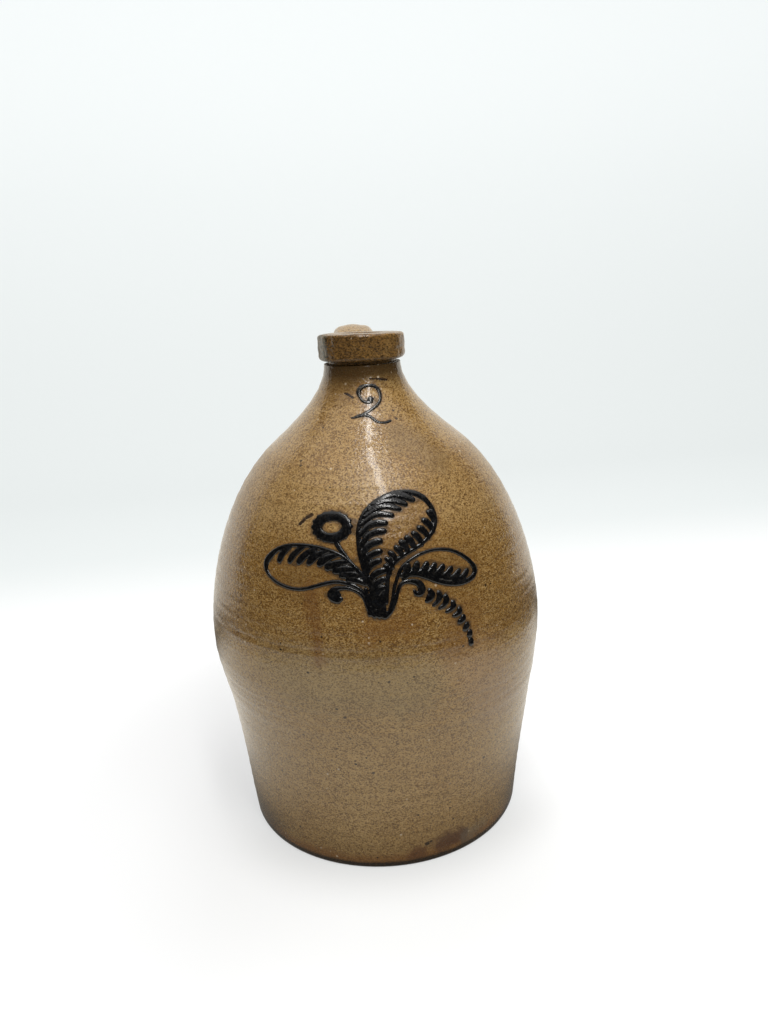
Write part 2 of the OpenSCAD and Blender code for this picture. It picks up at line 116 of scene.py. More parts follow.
# A petal's dab: share of the ring's radius, width
FLOWER_DAB = ((0.8, 1.0), (1.05, 1.2), (1.27, 1.1))
FLOWER_STEM = (
    (-31.4, 227.4, 1.3), (-29.4, 223, 1.2), (-26, 218.4, 0.9), (-21.6, 212.6, 0.75), (-17.8, 207.4, 0.75),
    (-14.4, 202.4, 0.8), (-12, 196, 0.9), (-11, 189, 0.9),
)
LEFT_CURL_STEM = (
    (-31, 194.8, 1.0), (-33.2, 193.9, 1.3), (-36.2, 195.4, 1.5), (-36.8, 198.2, 1.3), (-33.4, 200.5, 1.1),
    (-28, 201, 0.85), (-23.6, 200, 0.8), (-20, 198, 0.9), (-17.4, 194.6, 1.0), (-16, 190, 1.0),
    (-14.8, 185.6, 0.9),
)
LEFT_CURL_DROP = (-34.4, 197, 3.9)
STEMS = (
    ((-16.4, 200, 0.9), (-15.6, 193, 1.0), (-15.2, 185.8, 1.0)),
    ((-13.2, 201, 0.95), (-12.9, 193, 1.05), (-12.6, 184.8, 1.1)),
    ((-9.8, 201, 0.95), (-9.8, 193, 1.05), (-9.7, 184.4, 1.1)),
    ((-6.6, 200, 0.9), (-6.8, 192, 1.05), (-6.9, 183.8, 1.1)),
    ((0.6, 196, 0.8), (-0.8, 191, 1.0), (-3, 187, 1.2), (-6.2, 184, 1.1)),
)
TAIL_STEM = (
    (-1.4, 189, 0.9), (0.6, 193, 0.85), (2.3, 198, 0.85), (4.6, 201.5, 0.9), (8.5, 202.6, 1.0),
    (12.6, 202, 1.25), (15.6, 200, 1.6), (16.6, 197.3, 1.75), (15.2, 195.2, 1.6), (13, 195.2, 1.1),
    (12, 196.8, 0.7),
)
# Commas across the frond, fat at the upper end
TAIL_COMMAS = (
    ((21.3, 195.8, 1.1), (22.1, 193.4, 1.75), (20.6, 191.2, 1.65), (19.2, 190.2, 1.1)),
    ((26.8, 193.4, 1.2), (27.2, 191.3, 1.45), (25.6, 188.8, 1.15), (22.9, 187, 0.8)),
    ((31, 190.6, 1.25), (31.2, 188.4, 1.5), (29.4, 186, 1.2), (26.4, 184.6, 0.8)),
    ((35.2, 186.2, 1.25), (35.4, 184.3, 1.5), (33.4, 182.6, 1.1), (30.8, 181.8, 0.8)),
    ((39.1, 181.4, 1.3), (38.9, 179.9, 1.5), (37, 178.8, 1.25), (35.2, 178.5, 0.9)),
    ((41.3, 176.1, 1.5), (40.6, 175, 1.6), (38.9, 174.2, 1.3)),
    ((43.3, 170.9, 1.5), (42.6, 169.8, 1.6), (41.9, 169.1, 1.4)),
    ((45.1, 166, 1.45), (44.8, 164.6, 1.5)),
    ((45.3, 161.2, 1.4), (45.4, 159.2, 1.45)),
)
NUMERAL_DROP = (0.5, 300.3, 2.4)
NUMERAL_LOOP = (
    (0.8, 298.9, 0.9), (-1.6, 298.7, 0.95), (-4, 299.3, 0.75), (-6, 301.6, 0.7), (-6.6, 304.6, 1.0),
    (-5, 307.2, 1.1), (-1.4, 308.5, 0.85), (2.8, 308.3, 0.85), (6, 306.2, 0.85), (7.1, 302.8, 0.75),
    (6.6, 299.4, 0.75), (4.2, 296.8, 0.85), (0.4, 294.6, 0.8), (-4, 292.6, 0.8), (-8.6, 291.1, 0.8),
    (-12.6, 290.2, 0.5),
)
NUMERAL_FOOT = (
    (-9.5, 290.8, 0.6), (-5, 291.5, 0.8), (-1.8, 290.9, 0.8), (0.2, 289.5, 0.7), (2.6, 287.7, 0.7),
    (5.4, 286.9, 0.7), (8.4, 286.8, 0.75), (11, 287.4, 0.8),
)


# Sizes, colours and settings that a user would change

def length(name, description, default):
    return FloatProperty(name=name, description=description, default=default, unit="LENGTH")


def angle(name, description, degrees):
    return FloatProperty(name=name, description=description, default=math.radians(degrees), subtype="ANGLE")


def tone(name, description, default):
    return FloatVectorProperty(name=name, description=description, default=default, size=3, subtype="COLOR")


class JugSizes(bpy.types.PropertyGroup):
    """Sizes of the thrown and pulled clay."""

    foot_radius: length("Foot radius", "Radius of the flat foot", 0.098)
    foot_bevel: length("Foot bevel", "Bevel round the foot", 0.0014)
    belly_radius: length("Belly radius", "Largest radius", BODY_HIGH[0])
    belly_height: length("Belly height", "Height of the belly", 0.142)
    shoulder_radius: length("Shoulder radius", "Radius where the shoulder turns", 0.063)
    shoulder_height: length("Shoulder height", "Height of the shoulder's turn", 0.271)
    shoulder_lean: angle("Shoulder lean", "Lean of the wall at the turn", 50)
    neck_radius: length("Neck radius", "Radius of the neck", 0.0255)
    neck_top: length("Neck top", "Height of the neck", BODY_HIGH[2])
    wall: length("Wall", "Thickness of the wall", 0.0075)
    floor: length("Floor", "Thickness of the floor", 0.0095)
    mouth_radius: length("Mouth radius", "Radius of the bore", 0.014)
    bore_depth: length("Bore depth", "Depth of the round bore in the neck", 0.016)
    groove_height: length("Groove height", "Height of the groove under the collar", 0.0022)
    groove_depth: length("Groove depth", "Depth of that groove into the neck", 0.003)
    strap_width: length("Strap width", "Width of the strap", 0.028)
    strap_thickness: length("Strap thickness", "Thickness of the strap", 0.013)
    ring_depth: length("Throwing rings", "Depth of the throwing rings", 0.00009)
    wobble: length("Wobble", "How uneven the hand-thrown wall is", 0.0011)


class SlipSizes(bpy.types.PropertyGroup):
    """Sizes of the trailed slip."""

    line_width: length("Line width", "Usual line width", 0.0029)
    height: length("Height", "Height above the clay that thick slip comes to", 0.00115)
    bleed: length("Bleed", "How far the cobalt bleeds into the glaze", 0.0018)
    voxel: length("Grain", "Step at which strokes are fused", 0.0003)


class GlazeColours(bpy.types.PropertyGroup):
    """Colours of the fired clay, glaze and cobalt."""

    clay: tone("Clay", "Usual colour", (0.23, 0.138, 0.047))
    golden: tone("Golden", "Where the glaze is thick", (0.2, 0.107, 0.027))
    brown: tone("Brown", "Toasted patches", (0.07, 0.031, 0.006))
    pale: tone("Pale", "Hazy grey glaze", (0.335, 0.226, 0.092))
    cobalt: tone("Cobalt", "Thick cobalt slip", (0.0013, 0.0014, 0.0018))
    cobalt_thin: tone("Thin cobalt", "Cobalt at thin edges", (0.008, 0.009, 0.011))


class StudioSettings(bpy.types.PropertyGroup):
    """The camera, and the power of the lamps."""

    lens: FloatProperty(name="Lens", description="Focal length in millimetres", default=28.3)
    distance: length("Distance", "From the jug's axis to the camera", 0.545)
    eye_height: length("Eye height", "Height of the camera", 0.3715)
    turn: angle("Turn", "How far the camera stands round to the left", 6)
    pitch: angle("Pitch", "How far the camera looks down", 15.925)
    yaw: angle("Yaw", "How far the camera looks past the axis", 0.997)
    roll: angle("Roll", "How far the camera leans", 2.937)
    lamp_power: FloatProperty(name="Lamps", description="Watts that the lamps take shares of", default=16.0)


SETTINGS = {
    "jug_sizes": JugSizes, "jug_slip": SlipSizes, "jug_colours": GlazeColours, "jug_studio": StudioSettings,
}


def settings(name):
    return getattr(bpy.context.scene, name)


# Curves and the wall

# How the wall's three curves pull, as shares of the run between foot, belly, shoulder and neck
FOOT_FLARE, FOOT_REACH, BELLY_UNDER, BELLY_OVER = 0.66, 0.78, 0.13, 0.22
SHOULDER_UNDER, SHOULDER_OVER, NECK_REACH = 0.42, 0.32, 0.38
CURVE_STEPS = 90
FLOOR_FILLET = 0.016


def bezier(a, b, c, d, steps):
    t = np.linspace(0, 1, steps + 1)[:, None]
    s = 1 - t
    a, b, c, d = (np.array(p, float) for p in (a, b, c, d))
    return s ** 3 * a + 3 * s * s * t * b + 3 * s * t * t * c + t ** 3 * d


def arc(centre, radius, start, end, steps):
    angles = np.radians(np.linspace(start, end, steps + 1))
    return np.array(centre) + radius * np.stack([np.cos(angles), np.sin(angles)], axis=1)


def smooth_line(points, steps):
    """A curve through the points, with steps between each pair."""
    p = np.array(points, float)
    p = np.vstack([2 * p[0] - p[1], p, 2 * p[-1] - p[-2]])
    t = np.linspace(0, 1, steps, endpoint=False)[:, None]
    parts = []
    for a, b, c, d in zip(p, p[1:], p[2:], p[3:]):
        parts.append(0.5 * (2 * b + (c - a) * t + (2 * a - 5 * b + 4 * c - d) * t ** 2
                            + (3 * b - a - 3 * c + d) * t ** 3))
    return np.vstack(parts + [p[-2][None]])


def wall_curve(sizes, inset, top, mouth):
    """The wall's outline from foot to neck, as radius and height, moved inwards by inset."""
    lean = sizes.shoulder_lean
    up = np.array((-math.sin(lean), math.cos(lean)))
    out = np.array((math.cos(lean), math.sin(lean)))
    belly = np.array((sizes.belly_radius - inset, sizes.belly_height))
    shoulder = np.array((sizes.shoulder_radius, sizes.shoulder_height)) - inset * out
    if inset:
        foot = np.array((sizes.foot_radius - inset - sizes.foot_bevel, sizes.floor + FLOOR_FILLET))
    else:
        foot = np.array((sizes.foot_radius, sizes.foot_bevel))
    rise = sizes.shoulder_height - sizes.belly_height
    neck = sizes.neck_top - sizes.shoulder_height if not inset else top - shoulder[1]
    neck_pull = SHOULDER_OVER * (sizes.neck_top - sizes.shoulder_height)
    low = bezier(foot, (foot[0] + FOOT_FLARE * (belly[0] - foot[0]), FOOT_REACH * belly[1]),
                 (belly[0], belly[1] * (1 - BELLY_UNDER)), belly, CURVE_STEPS)
    mid = bezier(belly, (belly[0], belly[1] + BELLY_OVER * rise),
                 shoulder - SHOULDER_UNDER * rise * up, shoulder, CURVE_STEPS)
    high = bezier(shoulder, shoulder + neck_pull * up,
                  (mouth, top - NECK_REACH * neck), (mouth, top), CURVE_STEPS)
    return np.vstack([low, mid[1:], high[1:]])


def run_along(curve):
    """The length of a curve up to each of its points."""
    return np.concatenate([[0], np.cumsum(np.hypot(*np.diff(curve, axis=0).T))])


def respaced(curve, spacing):
    """The same curve with points at the spacing that a function gives for each height."""
    along = run_along(curve)
    place, places = 0.0, [0.0]
    while place < along[-1]:
        place += spacing(np.interp(place, along, curve[:, 1]))
        places.append(min(place, along[-1]))
    return np.stack([np.interp(places, along, curve[:, i]) for i in (0, 1)], axis=1)


class Wall:
    """The outside of the jug, and the way from a flat sheet onto its front."""

    def __init__(self, sizes):
        self.curve = wall_curve(sizes, 0, sizes.neck_top, sizes.neck_radius)
        self.along = run_along(self.curve)
        self.lean = np.gradient(self.curve, self.along, axis=0)

    def radius(self, z):
        return np.interp(z, self.curve[:, 1], self.curve[:, 0])

    def unroll(self, x, z):
        """From x and height to the flat sheet: round the jug, and up along the wall."""
        radius = self.radius(z)
        return radius * np.arcsin(x / radius), np.interp(z, self.curve[:, 1], self.along)

    def lay(self, sheet):
        """From the flat sheet, with a height above it, onto the jug."""
        round_jug, up, height = sheet.T
        radius, z = (np.interp(up, self.along, self.curve[:, i]) for i in (0, 1))
        lean_out, lean_up = (np.interp(up, self.along, self.lean[:, i]) for i in (0, 1))
        angle = round_jug / radius
        out = radius + height * lean_up
        return np.stack([out * np.sin(angle), -out * np.cos(angle), z - height * lean_out], axis=1)


# Strokes of slip

# Where the narrowing rings of a round end stand, as turns from the line's end
ROUND_END = (0.15, 0.5, 0.9, 1.25)
# Along a barb, from its tip to the line: shares of its length, and shares of its width
BARB_SHARES = (0, 0.12, 0.3, 0.55, 0.8, 1.0)
BARB_WIDTHS = (1.05, 1.2, 1.2, 1.1, 0.95, 0.8)
# A line's middle lies under the clay by this share of its half width; the gain keeps its width
SINK = 0.3
SINK_GAIN = 1 / math.sqrt(1 - SINK ** 2)


def stroke_line(points, steps=6):
    """A stroke in metres, as x, height and width, with round ends."""
    line = smooth_line(points, steps) * np.array((MM, MM, settings("jug_slip").line_width))
    return np.vstack([round_end(line), line, round_end(line[::-1])[::-1]])


def round_end(line):
    """Narrowing rings before the first point of a line."""
    way = line[0, :2] - line[1, :2]
    way /= np.hypot(*way)
    width = line[0, 2]
    return np.array([[*(line[0, :2] + way * width / 2 * math.cos(turn)), width * math.sin(turn)]
                     for turn in ROUND_END])


def barb_line(barb, bow):
    """A comma of slip: fat near its tip, bowed, and thinner where it meets the line."""
    tip_x, tip_z, root_x, root_z, width = barb
    shares = np.array(BARB_SHARES)
    widths = width * np.array(BARB_WIDTHS)
    reach = np.array((root_x - tip_x, root_z - tip_z))
    side = np.array((-reach[1], reach[0])) * bow
    points = np.array((tip_x, tip_z)) + shares[:, None] * reach + np.sin(np.pi * shares)[:, None] * side
    return stroke_line(np.column_stack([points, widths]), 3)


def drop_line(x, z, radius):
    """A round drop."""
    turns = np.radians(np.linspace(8, 172, 13))
    return MM * radius * np.stack(
        [x / radius - np.cos(turns), 0 * turns + z / radius, 2 * np.sin(turns)], axis=1)


def flower_point(angle, share):
    u, v = FLOWER_RADII[0] * math.cos(angle) * share, FLOWER_RADII[1] * math.sin(angle) * share
    return (FLOWER_CENTRE[0] + u * math.cos(FLOWER_TILT) - v * math.sin(FLOWER_TILT),
            FLOWER_CENTRE[1] + u * math.sin(FLOWER_TILT) + v * math.cos(FLOWER_TILT))


def flower_lines():
    """A wide ring, with dabs side by side that scallop its rim."""
    turns = np.linspace(0, 2 * math.pi, 25)
    lines = [stroke_line([(*flower_point(angle, 1), FLOWER_RING) for angle in turns], 3)]
    for i in range(FLOWER_PETALS):
        angle = 2 * math.pi * (i + 0.5) / FLOWER_PETALS
        lines.append(stroke_line([(*flower_point(angle, share), width) for share, width in FLOWER_DAB], 3))
    return lines


def spray_lines():
    """Every stroke of the spray, under the name of the CAD node that it stands for."""
    return {
        "cobalt_left_leaf": [stroke_line(LEFT_LEAF_LINE)] + [barb_line(b, 0.07) for b in LEFT_LEAF_BARBS],
        "cobalt_centre_leaf": [stroke_line(CENTRE_LEAF_LINE)]
        + [barb_line(b, -0.16) for b in CENTRE_LEFT_BARBS] + [barb_line(b, 0.1) for b in CENTRE_RIGHT_BARBS],
        "cobalt_right_leaf": [stroke_line(RIGHT_LEAF_LINE)] + [barb_line(b, 0.18) for b in RIGHT_BARBS],
        "cobalt_flower": flower_lines() + [stroke_line(FLOWER_STEM)],
        "cobalt_left_curl": [stroke_line(LEFT_CURL_STEM), drop_line(*LEFT_CURL_DROP)],
        "cobalt_stem_bundle": [stroke_line(s) for s in STEMS],
        "cobalt_tail_frond": [stroke_line(TAIL_STEM)] + [stroke_line(c) for c in TAIL_COMMAS],
    }


def numeral_lines():
    return [stroke_line(NUMERAL_LOOP), stroke_line(NUMERAL_FOOT), drop_line(*NUMERAL_DROP)]


# Mesh helpers

# Points closer than this are joined where a turn closes
SEAM = 0.000002


def activate(piece):
    bpy.ops.object.select_all(action="DESELECT")
    piece.select_set(True)
    bpy.context.view_layer.objects.active = piece


def mode(name):
    bpy.ops.object.mode_set(mode=name)


def new_piece(name, add, **options):
    """Adds a primitive at the origin and opens it for editing."""
    bpy.ops.object.select_all(action="DESELECT")
    add(location=(0, 0, 0), **options)
    piece = bpy.context.object
    piece.name = name
    mode("EDIT")
    return piece


def extrude(move):
    bpy.ops.mesh.extrude_region_move(TRANSFORM_OT_translate={"value": move})


def face_outwards():
    bpy.ops.mesh.select_all(action="SELECT")
    bpy.ops.mesh.normals_make_consistent(inside=False)


def apply_modifier(piece, kind, **values):
    """Adds a modifier, sets it and applies it."""
    activate(piece)
    modifier = piece.modifiers.new(kind.title(), kind)
    for key, value in values.items():
        setattr(modifier, key, value)
    bpy.ops.object.modifier_apply(modifier=modifier.name)


def lump(piece, texture_name, size, strength, mid_level, group):
    """Swells and sinks the surface by soft noise of one size, as far as a vertex group allows."""
    texture = bpy.data.textures.new(texture_name, "CLOUDS")
    texture.noise_scale = size
    texture.noise_depth = 2
    apply_modifier(piece, "DISPLACE", texture=texture, strength=strength, mid_level=mid_level,
                   vertex_group=group)


def turned_piece(name, outline, start, turns):
    """Draws an outline of radius and height point by point, and spins it round the axis from start.
    turns are the parts of the full turn, each an angle and its steps."""
    piece = new_piece(name, bpy.ops.mesh.primitive_circle_add, vertices=3, radius=MM)
    bpy.ops.mesh.merge(type="CENTER")
    direction = Vector((math.sin(start), -math.cos(start), 0))
    first = outline[0]
    bpy.ops.transform.translate(value=direction * first[0] + Vector((0, 0, first[1])))
    for here, there in zip(outline, outline[1:]):
        extrude(direction * (there[0] - here[0]) + Vector((0, 0, there[1] - here[1])))
    bpy.ops.mesh.select_all(action="SELECT")
    for part, steps in turns:
        bpy.ops.mesh.spin(steps=steps, angle=part, center=(0, 0, 0), axis=(0, 0, 1))
    bpy.ops.mesh.select_all(action="SELECT")
    bpy.ops.mesh.remove_doubles(threshold=SEAM)
    face_outwards()
    bpy.ops.mesh.faces_shade_smooth()
    mode("OBJECT")
    return piece


def vertices_of(piece):
    places = np.empty(len(piece.data.vertices) * 3)
    piece.data.vertices.foreach_get("co", places)
    return places.reshape(-1, 3)


def set_vertices(piece, places):
    piece.data.vertices.foreach_set("co", places.ravel())
    piece.data.update()


def vertex_group(piece, name, weights):
    """Writes weights into a vertex group, in steps of a tenth."""
    group = piece.vertex_groups.new(name=name)
    for share in range(1, 11):
        chosen = np.nonzero((weights > (share - 0.5) / 10) & (weights <= (share + 0.5) / 10))[0]
        if len(chosen):
            group.add(chosen.tolist(), share / 10, "REPLACE")


def finish_piece(piece, material, slot, *nodes):
    """Gives a piece its glaze, hangs it on the body that it rides on, and hides the CAD parts that it stands
    for.
    """
    piece.data.materials.clear()
    piece.data.materials.append(material)
    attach(piece, BODY)
    if nodes:
        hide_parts(*nodes)


def fade(values, start, end):
    """0 at start, 1 at end, smooth between."""
    t = np.clip((values - start) / (end - start), 0, 1)
    return t * t * (3 - 2 * t)


# Materials

COAT_ROUGHNESS = 0.07
# The name of the attribute that holds how far cobalt has bled into the glaze
BLEED = "bleed"


def sum_of(operation, turned=False):
    """A method that does one sum on a wire. turned puts the wire on the right of the other value."""
    def method(wire, other=0.0):
        a, b = (other, wire) if turned else (wire, other)
        return wire.finish.node("ShaderNodeMath", {"operation": operation}, {0: a, 1: b})

    return method


class Wire:
    """A number, a colour or a place on its way through a material's nodes."""

    def __init__(self, finish, socket):
        self.finish = finish
        self.socket = socket

    __add__ = __radd__ = sum_of("ADD")
    __sub__, __rsub__ = sum_of("SUBTRACT"), sum_of("SUBTRACT", turned=True)
    __mul__, __truediv__ = sum_of("MULTIPLY"), sum_of("DIVIDE")
    most, least, size = sum_of("MAXIMUM"), sum_of("MINIMUM"), sum_of("ABSOLUTE")


def rgba(colour):
    """A colour as a socket takes it, or the wire that carries one."""
    return colour if isinstance(colour, Wire) else (*colour, 1)


class Finish:
    """A material or a world, short ways to add its nodes, and the colour painted so far."""

    def __init__(self, name, kind="materials"):
        self.material = getattr(bpy.data, kind).new(name)
        self.material.use_nodes = True
        self.tree = self.material.node_tree
        self.tree.nodes.clear()
        self.colour = None

    def node(self, kind, options=None, sockets=None, output=0):
        node = self.tree.nodes.new(kind)
        for key, value in (options or {}).items():
            setattr(node, key, value)
        for key, value in (sockets or {}).items():
            if isinstance(value, Wire):
                self.tree.links.new(value.socket, node.inputs[key])
            else:
                node.inputs[key].default_value = value
        return Wire(self, node.outputs[output])

    def place(self):
        return self.node("ShaderNodeTexCoord", output="Object")

    def moved(self, vector, offset=(0, 0, 0), scale=(1, 1, 1)):
        return self.node("ShaderNodeMapping", sockets={"Vector": vector, "Location": offset, "Scale": scale})

    def axes(self, vector):
        x = self.node("ShaderNodeSeparateXYZ", sockets={0: vector})
        return [x] + [Wire(self, x.socket.node.outputs[i]) for i in (1, 2)]

    def vector(self, operation, sockets, output=0):
        return self.node("ShaderNodeVectorMath", {"operation": operation}, sockets, output)

    def noise(self, vector, size, detail=2.0, roughness=0.5, distortion=0.0):
        """Noise whose lumps are about size metres across, as 0 to 1."""
        return self.node("ShaderNodeTexNoise", sockets={
            "Vector": vector, "Scale": 1 / size, "Detail": detail, "Roughness": roughness,
            "Distortion": distortion})

    def cells(self, vector, size, feature="F1", output="Distance"):
        """Cells about size metres across."""
        return self.node("ShaderNodeTexVoronoi", {"feature": feature},
                         {"Vector": vector, "Scale": 1 / size}, output)

    def fade(self, value, start, end, low=0.0, high=1.0):
        """low at start and high at end, smooth between and flat past them."""
        return self.node("ShaderNodeMapRange", {"interpolation_type": "SMOOTHSTEP"}, {
            "Value": value, "From Min": start, "From Max": end, "To Min": low, "To Max": high})

    def band(self, value, start, full, ebb, end):
        """Rises from start to full, and falls again from ebb to end."""
        return self.fade(value, start, full) * self.fade(value, end, ebb)

    def mix(self, share, a, b):
        return self.node("ShaderNodeMix", {"data_type": "RGBA"}, {0: share, 6: rgba(a), 7: rgba(b)}, 2)

    def paint(self, share, tint):
        """Lays a tint over the colour so far. share says how strongly, from 0 to 1."""
        self.colour = self.mix(share, self.colour, tint)

    def gap_to(self, vector, start, end):
        """Distance from a straight stretch between two places."""
        start, end = Vector(start), Vector(end)
        run = end - start
        from_start = self.vector("SUBTRACT", {0: vector, 1: start})
        along = self.vector("DOT_PRODUCT", {0: from_start, 1: run}, "Value")
        share = (along / run.length_squared).most(0).least(1)
        nearest = self.vector("SCALE", {0: run, "Scale": share})
        return self.vector("DISTANCE", {0: from_start, 1: nearest}, "Value")

    def surface(self, roughness, specular, coat, bumps):
        """Ends the material in a glaze of the colour so far. bumps are heights in metres with strengths."""
        sockets = {"Base Color": self.colour, "Roughness": roughness, "Specular IOR Level": specular,
                   "Coat Weight": coat, "Coat Roughness": COAT_ROUGHNESS}
        for height, strength in bumps:
            values = {"Height": height, "Strength": strength, "Distance": 1.0}
            if "Normal" in sockets:
                values["Normal"] = sockets["Normal"]
            sockets["Normal"] = self.node("ShaderNodeBump", sockets=values, output="Normal")
        return self.end(self.node("ShaderNodeBsdfPrincipled", sockets=sockets))

    def shader(self, kind, colour, strength=None):
        sockets = {"Color": rgba(colour)}
        if strength is not None:
            sockets["Strength"] = strength
        return self.node("ShaderNode" + kind, sockets=sockets)

    def blend(self, share, a, b):
        return self.node("ShaderNodeMixShader", sockets={0: share, 1: a, 2: b})

    def rays(self):
        """1 for what the camera sees itself, and 1 for what gloss mirrors."""
        camera = self.node("ShaderNodeLightPath", output="Is Camera Ray")
        return camera, Wire(self, camera.socket.node.outputs["Is Glossy Ray"])

    def end(self, shader, kind="Material"):
        output = self.tree.nodes.new("ShaderNodeOutput" + kind)
        self.tree.links.new(shader.socket, output.inputs["Surface"])
        return self.material


# Heights in metres at which a tone of the body's glaze starts and ends
GLAZE_LINE = (0.1535, 0.1595)
GOLDEN_PART = (0.24, 0.215)
RICH_PART = (0.25, 0.205)
# Pale band on the shoulder: partly hazy glaze, partly painted light where the shoulder's top is lit from
# above
HAZE_AND_TOP_LIGHT = (0.215, 0.24, 0.25, 0.265)
MATT_SHOULDER = (0.22, 0.24, 0.264, 0.272)
# At the foot: a darker band low on the wall, the toasted band, painted shade at its sides and a painted
# contact shadow along its bottom edge
FOOT_SHADE, FOOT_TOAST, FOOT_SIDE_SHADE, FOOT_CONTACT_SHADE = (0.045, 0.01), (0.015, 0.006), (0.036, 0.012), (0.0062, 0.003)
# Painted shade on the neck under the collar
NECK_SHADE = (0.302, 0.317)
# How far out to the sides the painted shade on the foot starts
SIDE_SHADE_REACH = (0.07, 0.09)
# Heights between which the wall shows tooling, and how strongly
TOOLED = (((0.104, 0.114, 0.128, 0.136), 0.9), ((0.146, 0.152, 0.158, 0.164), 0.3))
TOOLED_NECK = (0.300, 0.309)
# How far left the collar's knocked flat starts: its brown edge, then its green face
FLAT_EDGE, FLAT_FACE = (-0.0232, -0.024), (-0.0241, -0.0248)

RICH_TINT = (0.11, 0.054, 0.008)
IRON_TINT = (0.014, 0.007, 0.003)
LIME_TINT = (0.44, 0.36, 0.26)
SOAKED_TINT, SOAKED_DEEP = (0.17, 0.085, 0.024), (0.02, 0.014, 0.01)
COLLAR_TINT, COLLAR_DEEP, COLLAR_LIGHT = (0.05, 0.024, 0.006), (0.016, 0.008, 0.002), (0.2, 0.105, 0.03)
FLAT_EDGE_TINT, FLAT_FACE_TINT = (0.012, 0.011, 0.006), (0.045, 0.05, 0.031)
FOOT_TINT, TOAST_TINT, SIDE_SHADE_TINT, CONTACT_SHADE_TINT = (
    (0.1, 0.052, 0.015), (0.14, 0.058, 0.012), (0.045, 0.03, 0.017), (0.005, 0.003, 0.0015))
NECK_SHADE_TINT, DOT_TINT, SCAR_TINT = (0.034, 0.018, 0.005), (0.01, 0.005, 0.003), (0.007, 0.003, 0.002)
CLAY_THROUGH_TINT = (0.06, 0.05, 0.034)

# Patches of another tone on the front: from, to (x and height in mm), reach in mm, strength, tint
GLAZE_PATCHES = (
    # Browner round the spray, left of the numeral and right of the shine
    ((-55, 210), (38, 205), 27, 0.45, (0.09, 0.042, 0.007)),
    ((2, 215), (12, 238), 20, 0.35, (0.11, 0.052, 0.01)),
    ((-30, 306), (-15, 308), 13, 0.5, (0.09, 0.045, 0.013)),
    ((15, 279), (36, 265), 13, 0.45, (0.12, 0.075, 0.032)),
    # Grey-olive and pinkish haze on the lower half
    ((-60, 146), (5, 140), 34, 0.4, (0.15, 0.122, 0.062)),
    ((50, 146), (66, 112), 28, 0.35, (0.235, 0.14, 0.078)),
    # Rust below the spray and at its sides
    ((34, 160), (44, 178), 16, 0.45, (0.13, 0.058, 0.013)),
    ((-14, 176), (8, 180), 14, 0.5, (0.14, 0.062, 0.014)),
    ((-46.4, 199), (-47.4, 156), 7, 0.55, (0.11, 0.045, 0.011)),
)
# Dark red, red and grey on the foot
FOOT_PATCHES = (
    ((24, 12), (37, 14), 9, 0.85, (0.06, 0.022, 0.009)),
    ((2, 7), (10, 8.5), 6, 0.7, (0.08, 0.03, 0.01)),
    ((46, 10), (54, 12), 9, 0.5, (0.12, 0.1, 0.07)),
)
# Dents and scars: from, to (x and height in mm), width in mm, depth in mm
SCARS = (
    ((-51, 234.6), (-47.8, 237.4), 1.0, 0.6), ((-46.6, 238.3), (-43.4, 240), 1.2, 0.6),
    ((-14.8, 304.2), (-13.8, 304), 0.9, 0.4), ((-13.6, 303.8), (-10.4, 301.8), 0.9, 0.5),
    ((1.6, 312.5), (7.6, 312), 0.6, 0.4), ((7.6, 312), (12.4, 311), 0.9, 0.5),
    ((18, 138.6), (30.8, 130.6), 0.4, 0.1),
)
# Iron dots: x, height and radius in mm
IRON_DOTS = (
    (14.7, 15.2, 2.3), (17.4, 16.4, 1.3), (-34.1, 120.5, 1.3), (55.8, 69.1, 1.2), (-53.9, 149.8, 1.0),
    (-69, 161.5, 0.9), (-40, 96, 0.6), (31, 44, 0.7), (-8, 62, 0.5), (62, 190, 0.7), (-60, 103, 0.6),
    (4, 143, 0.5),
)


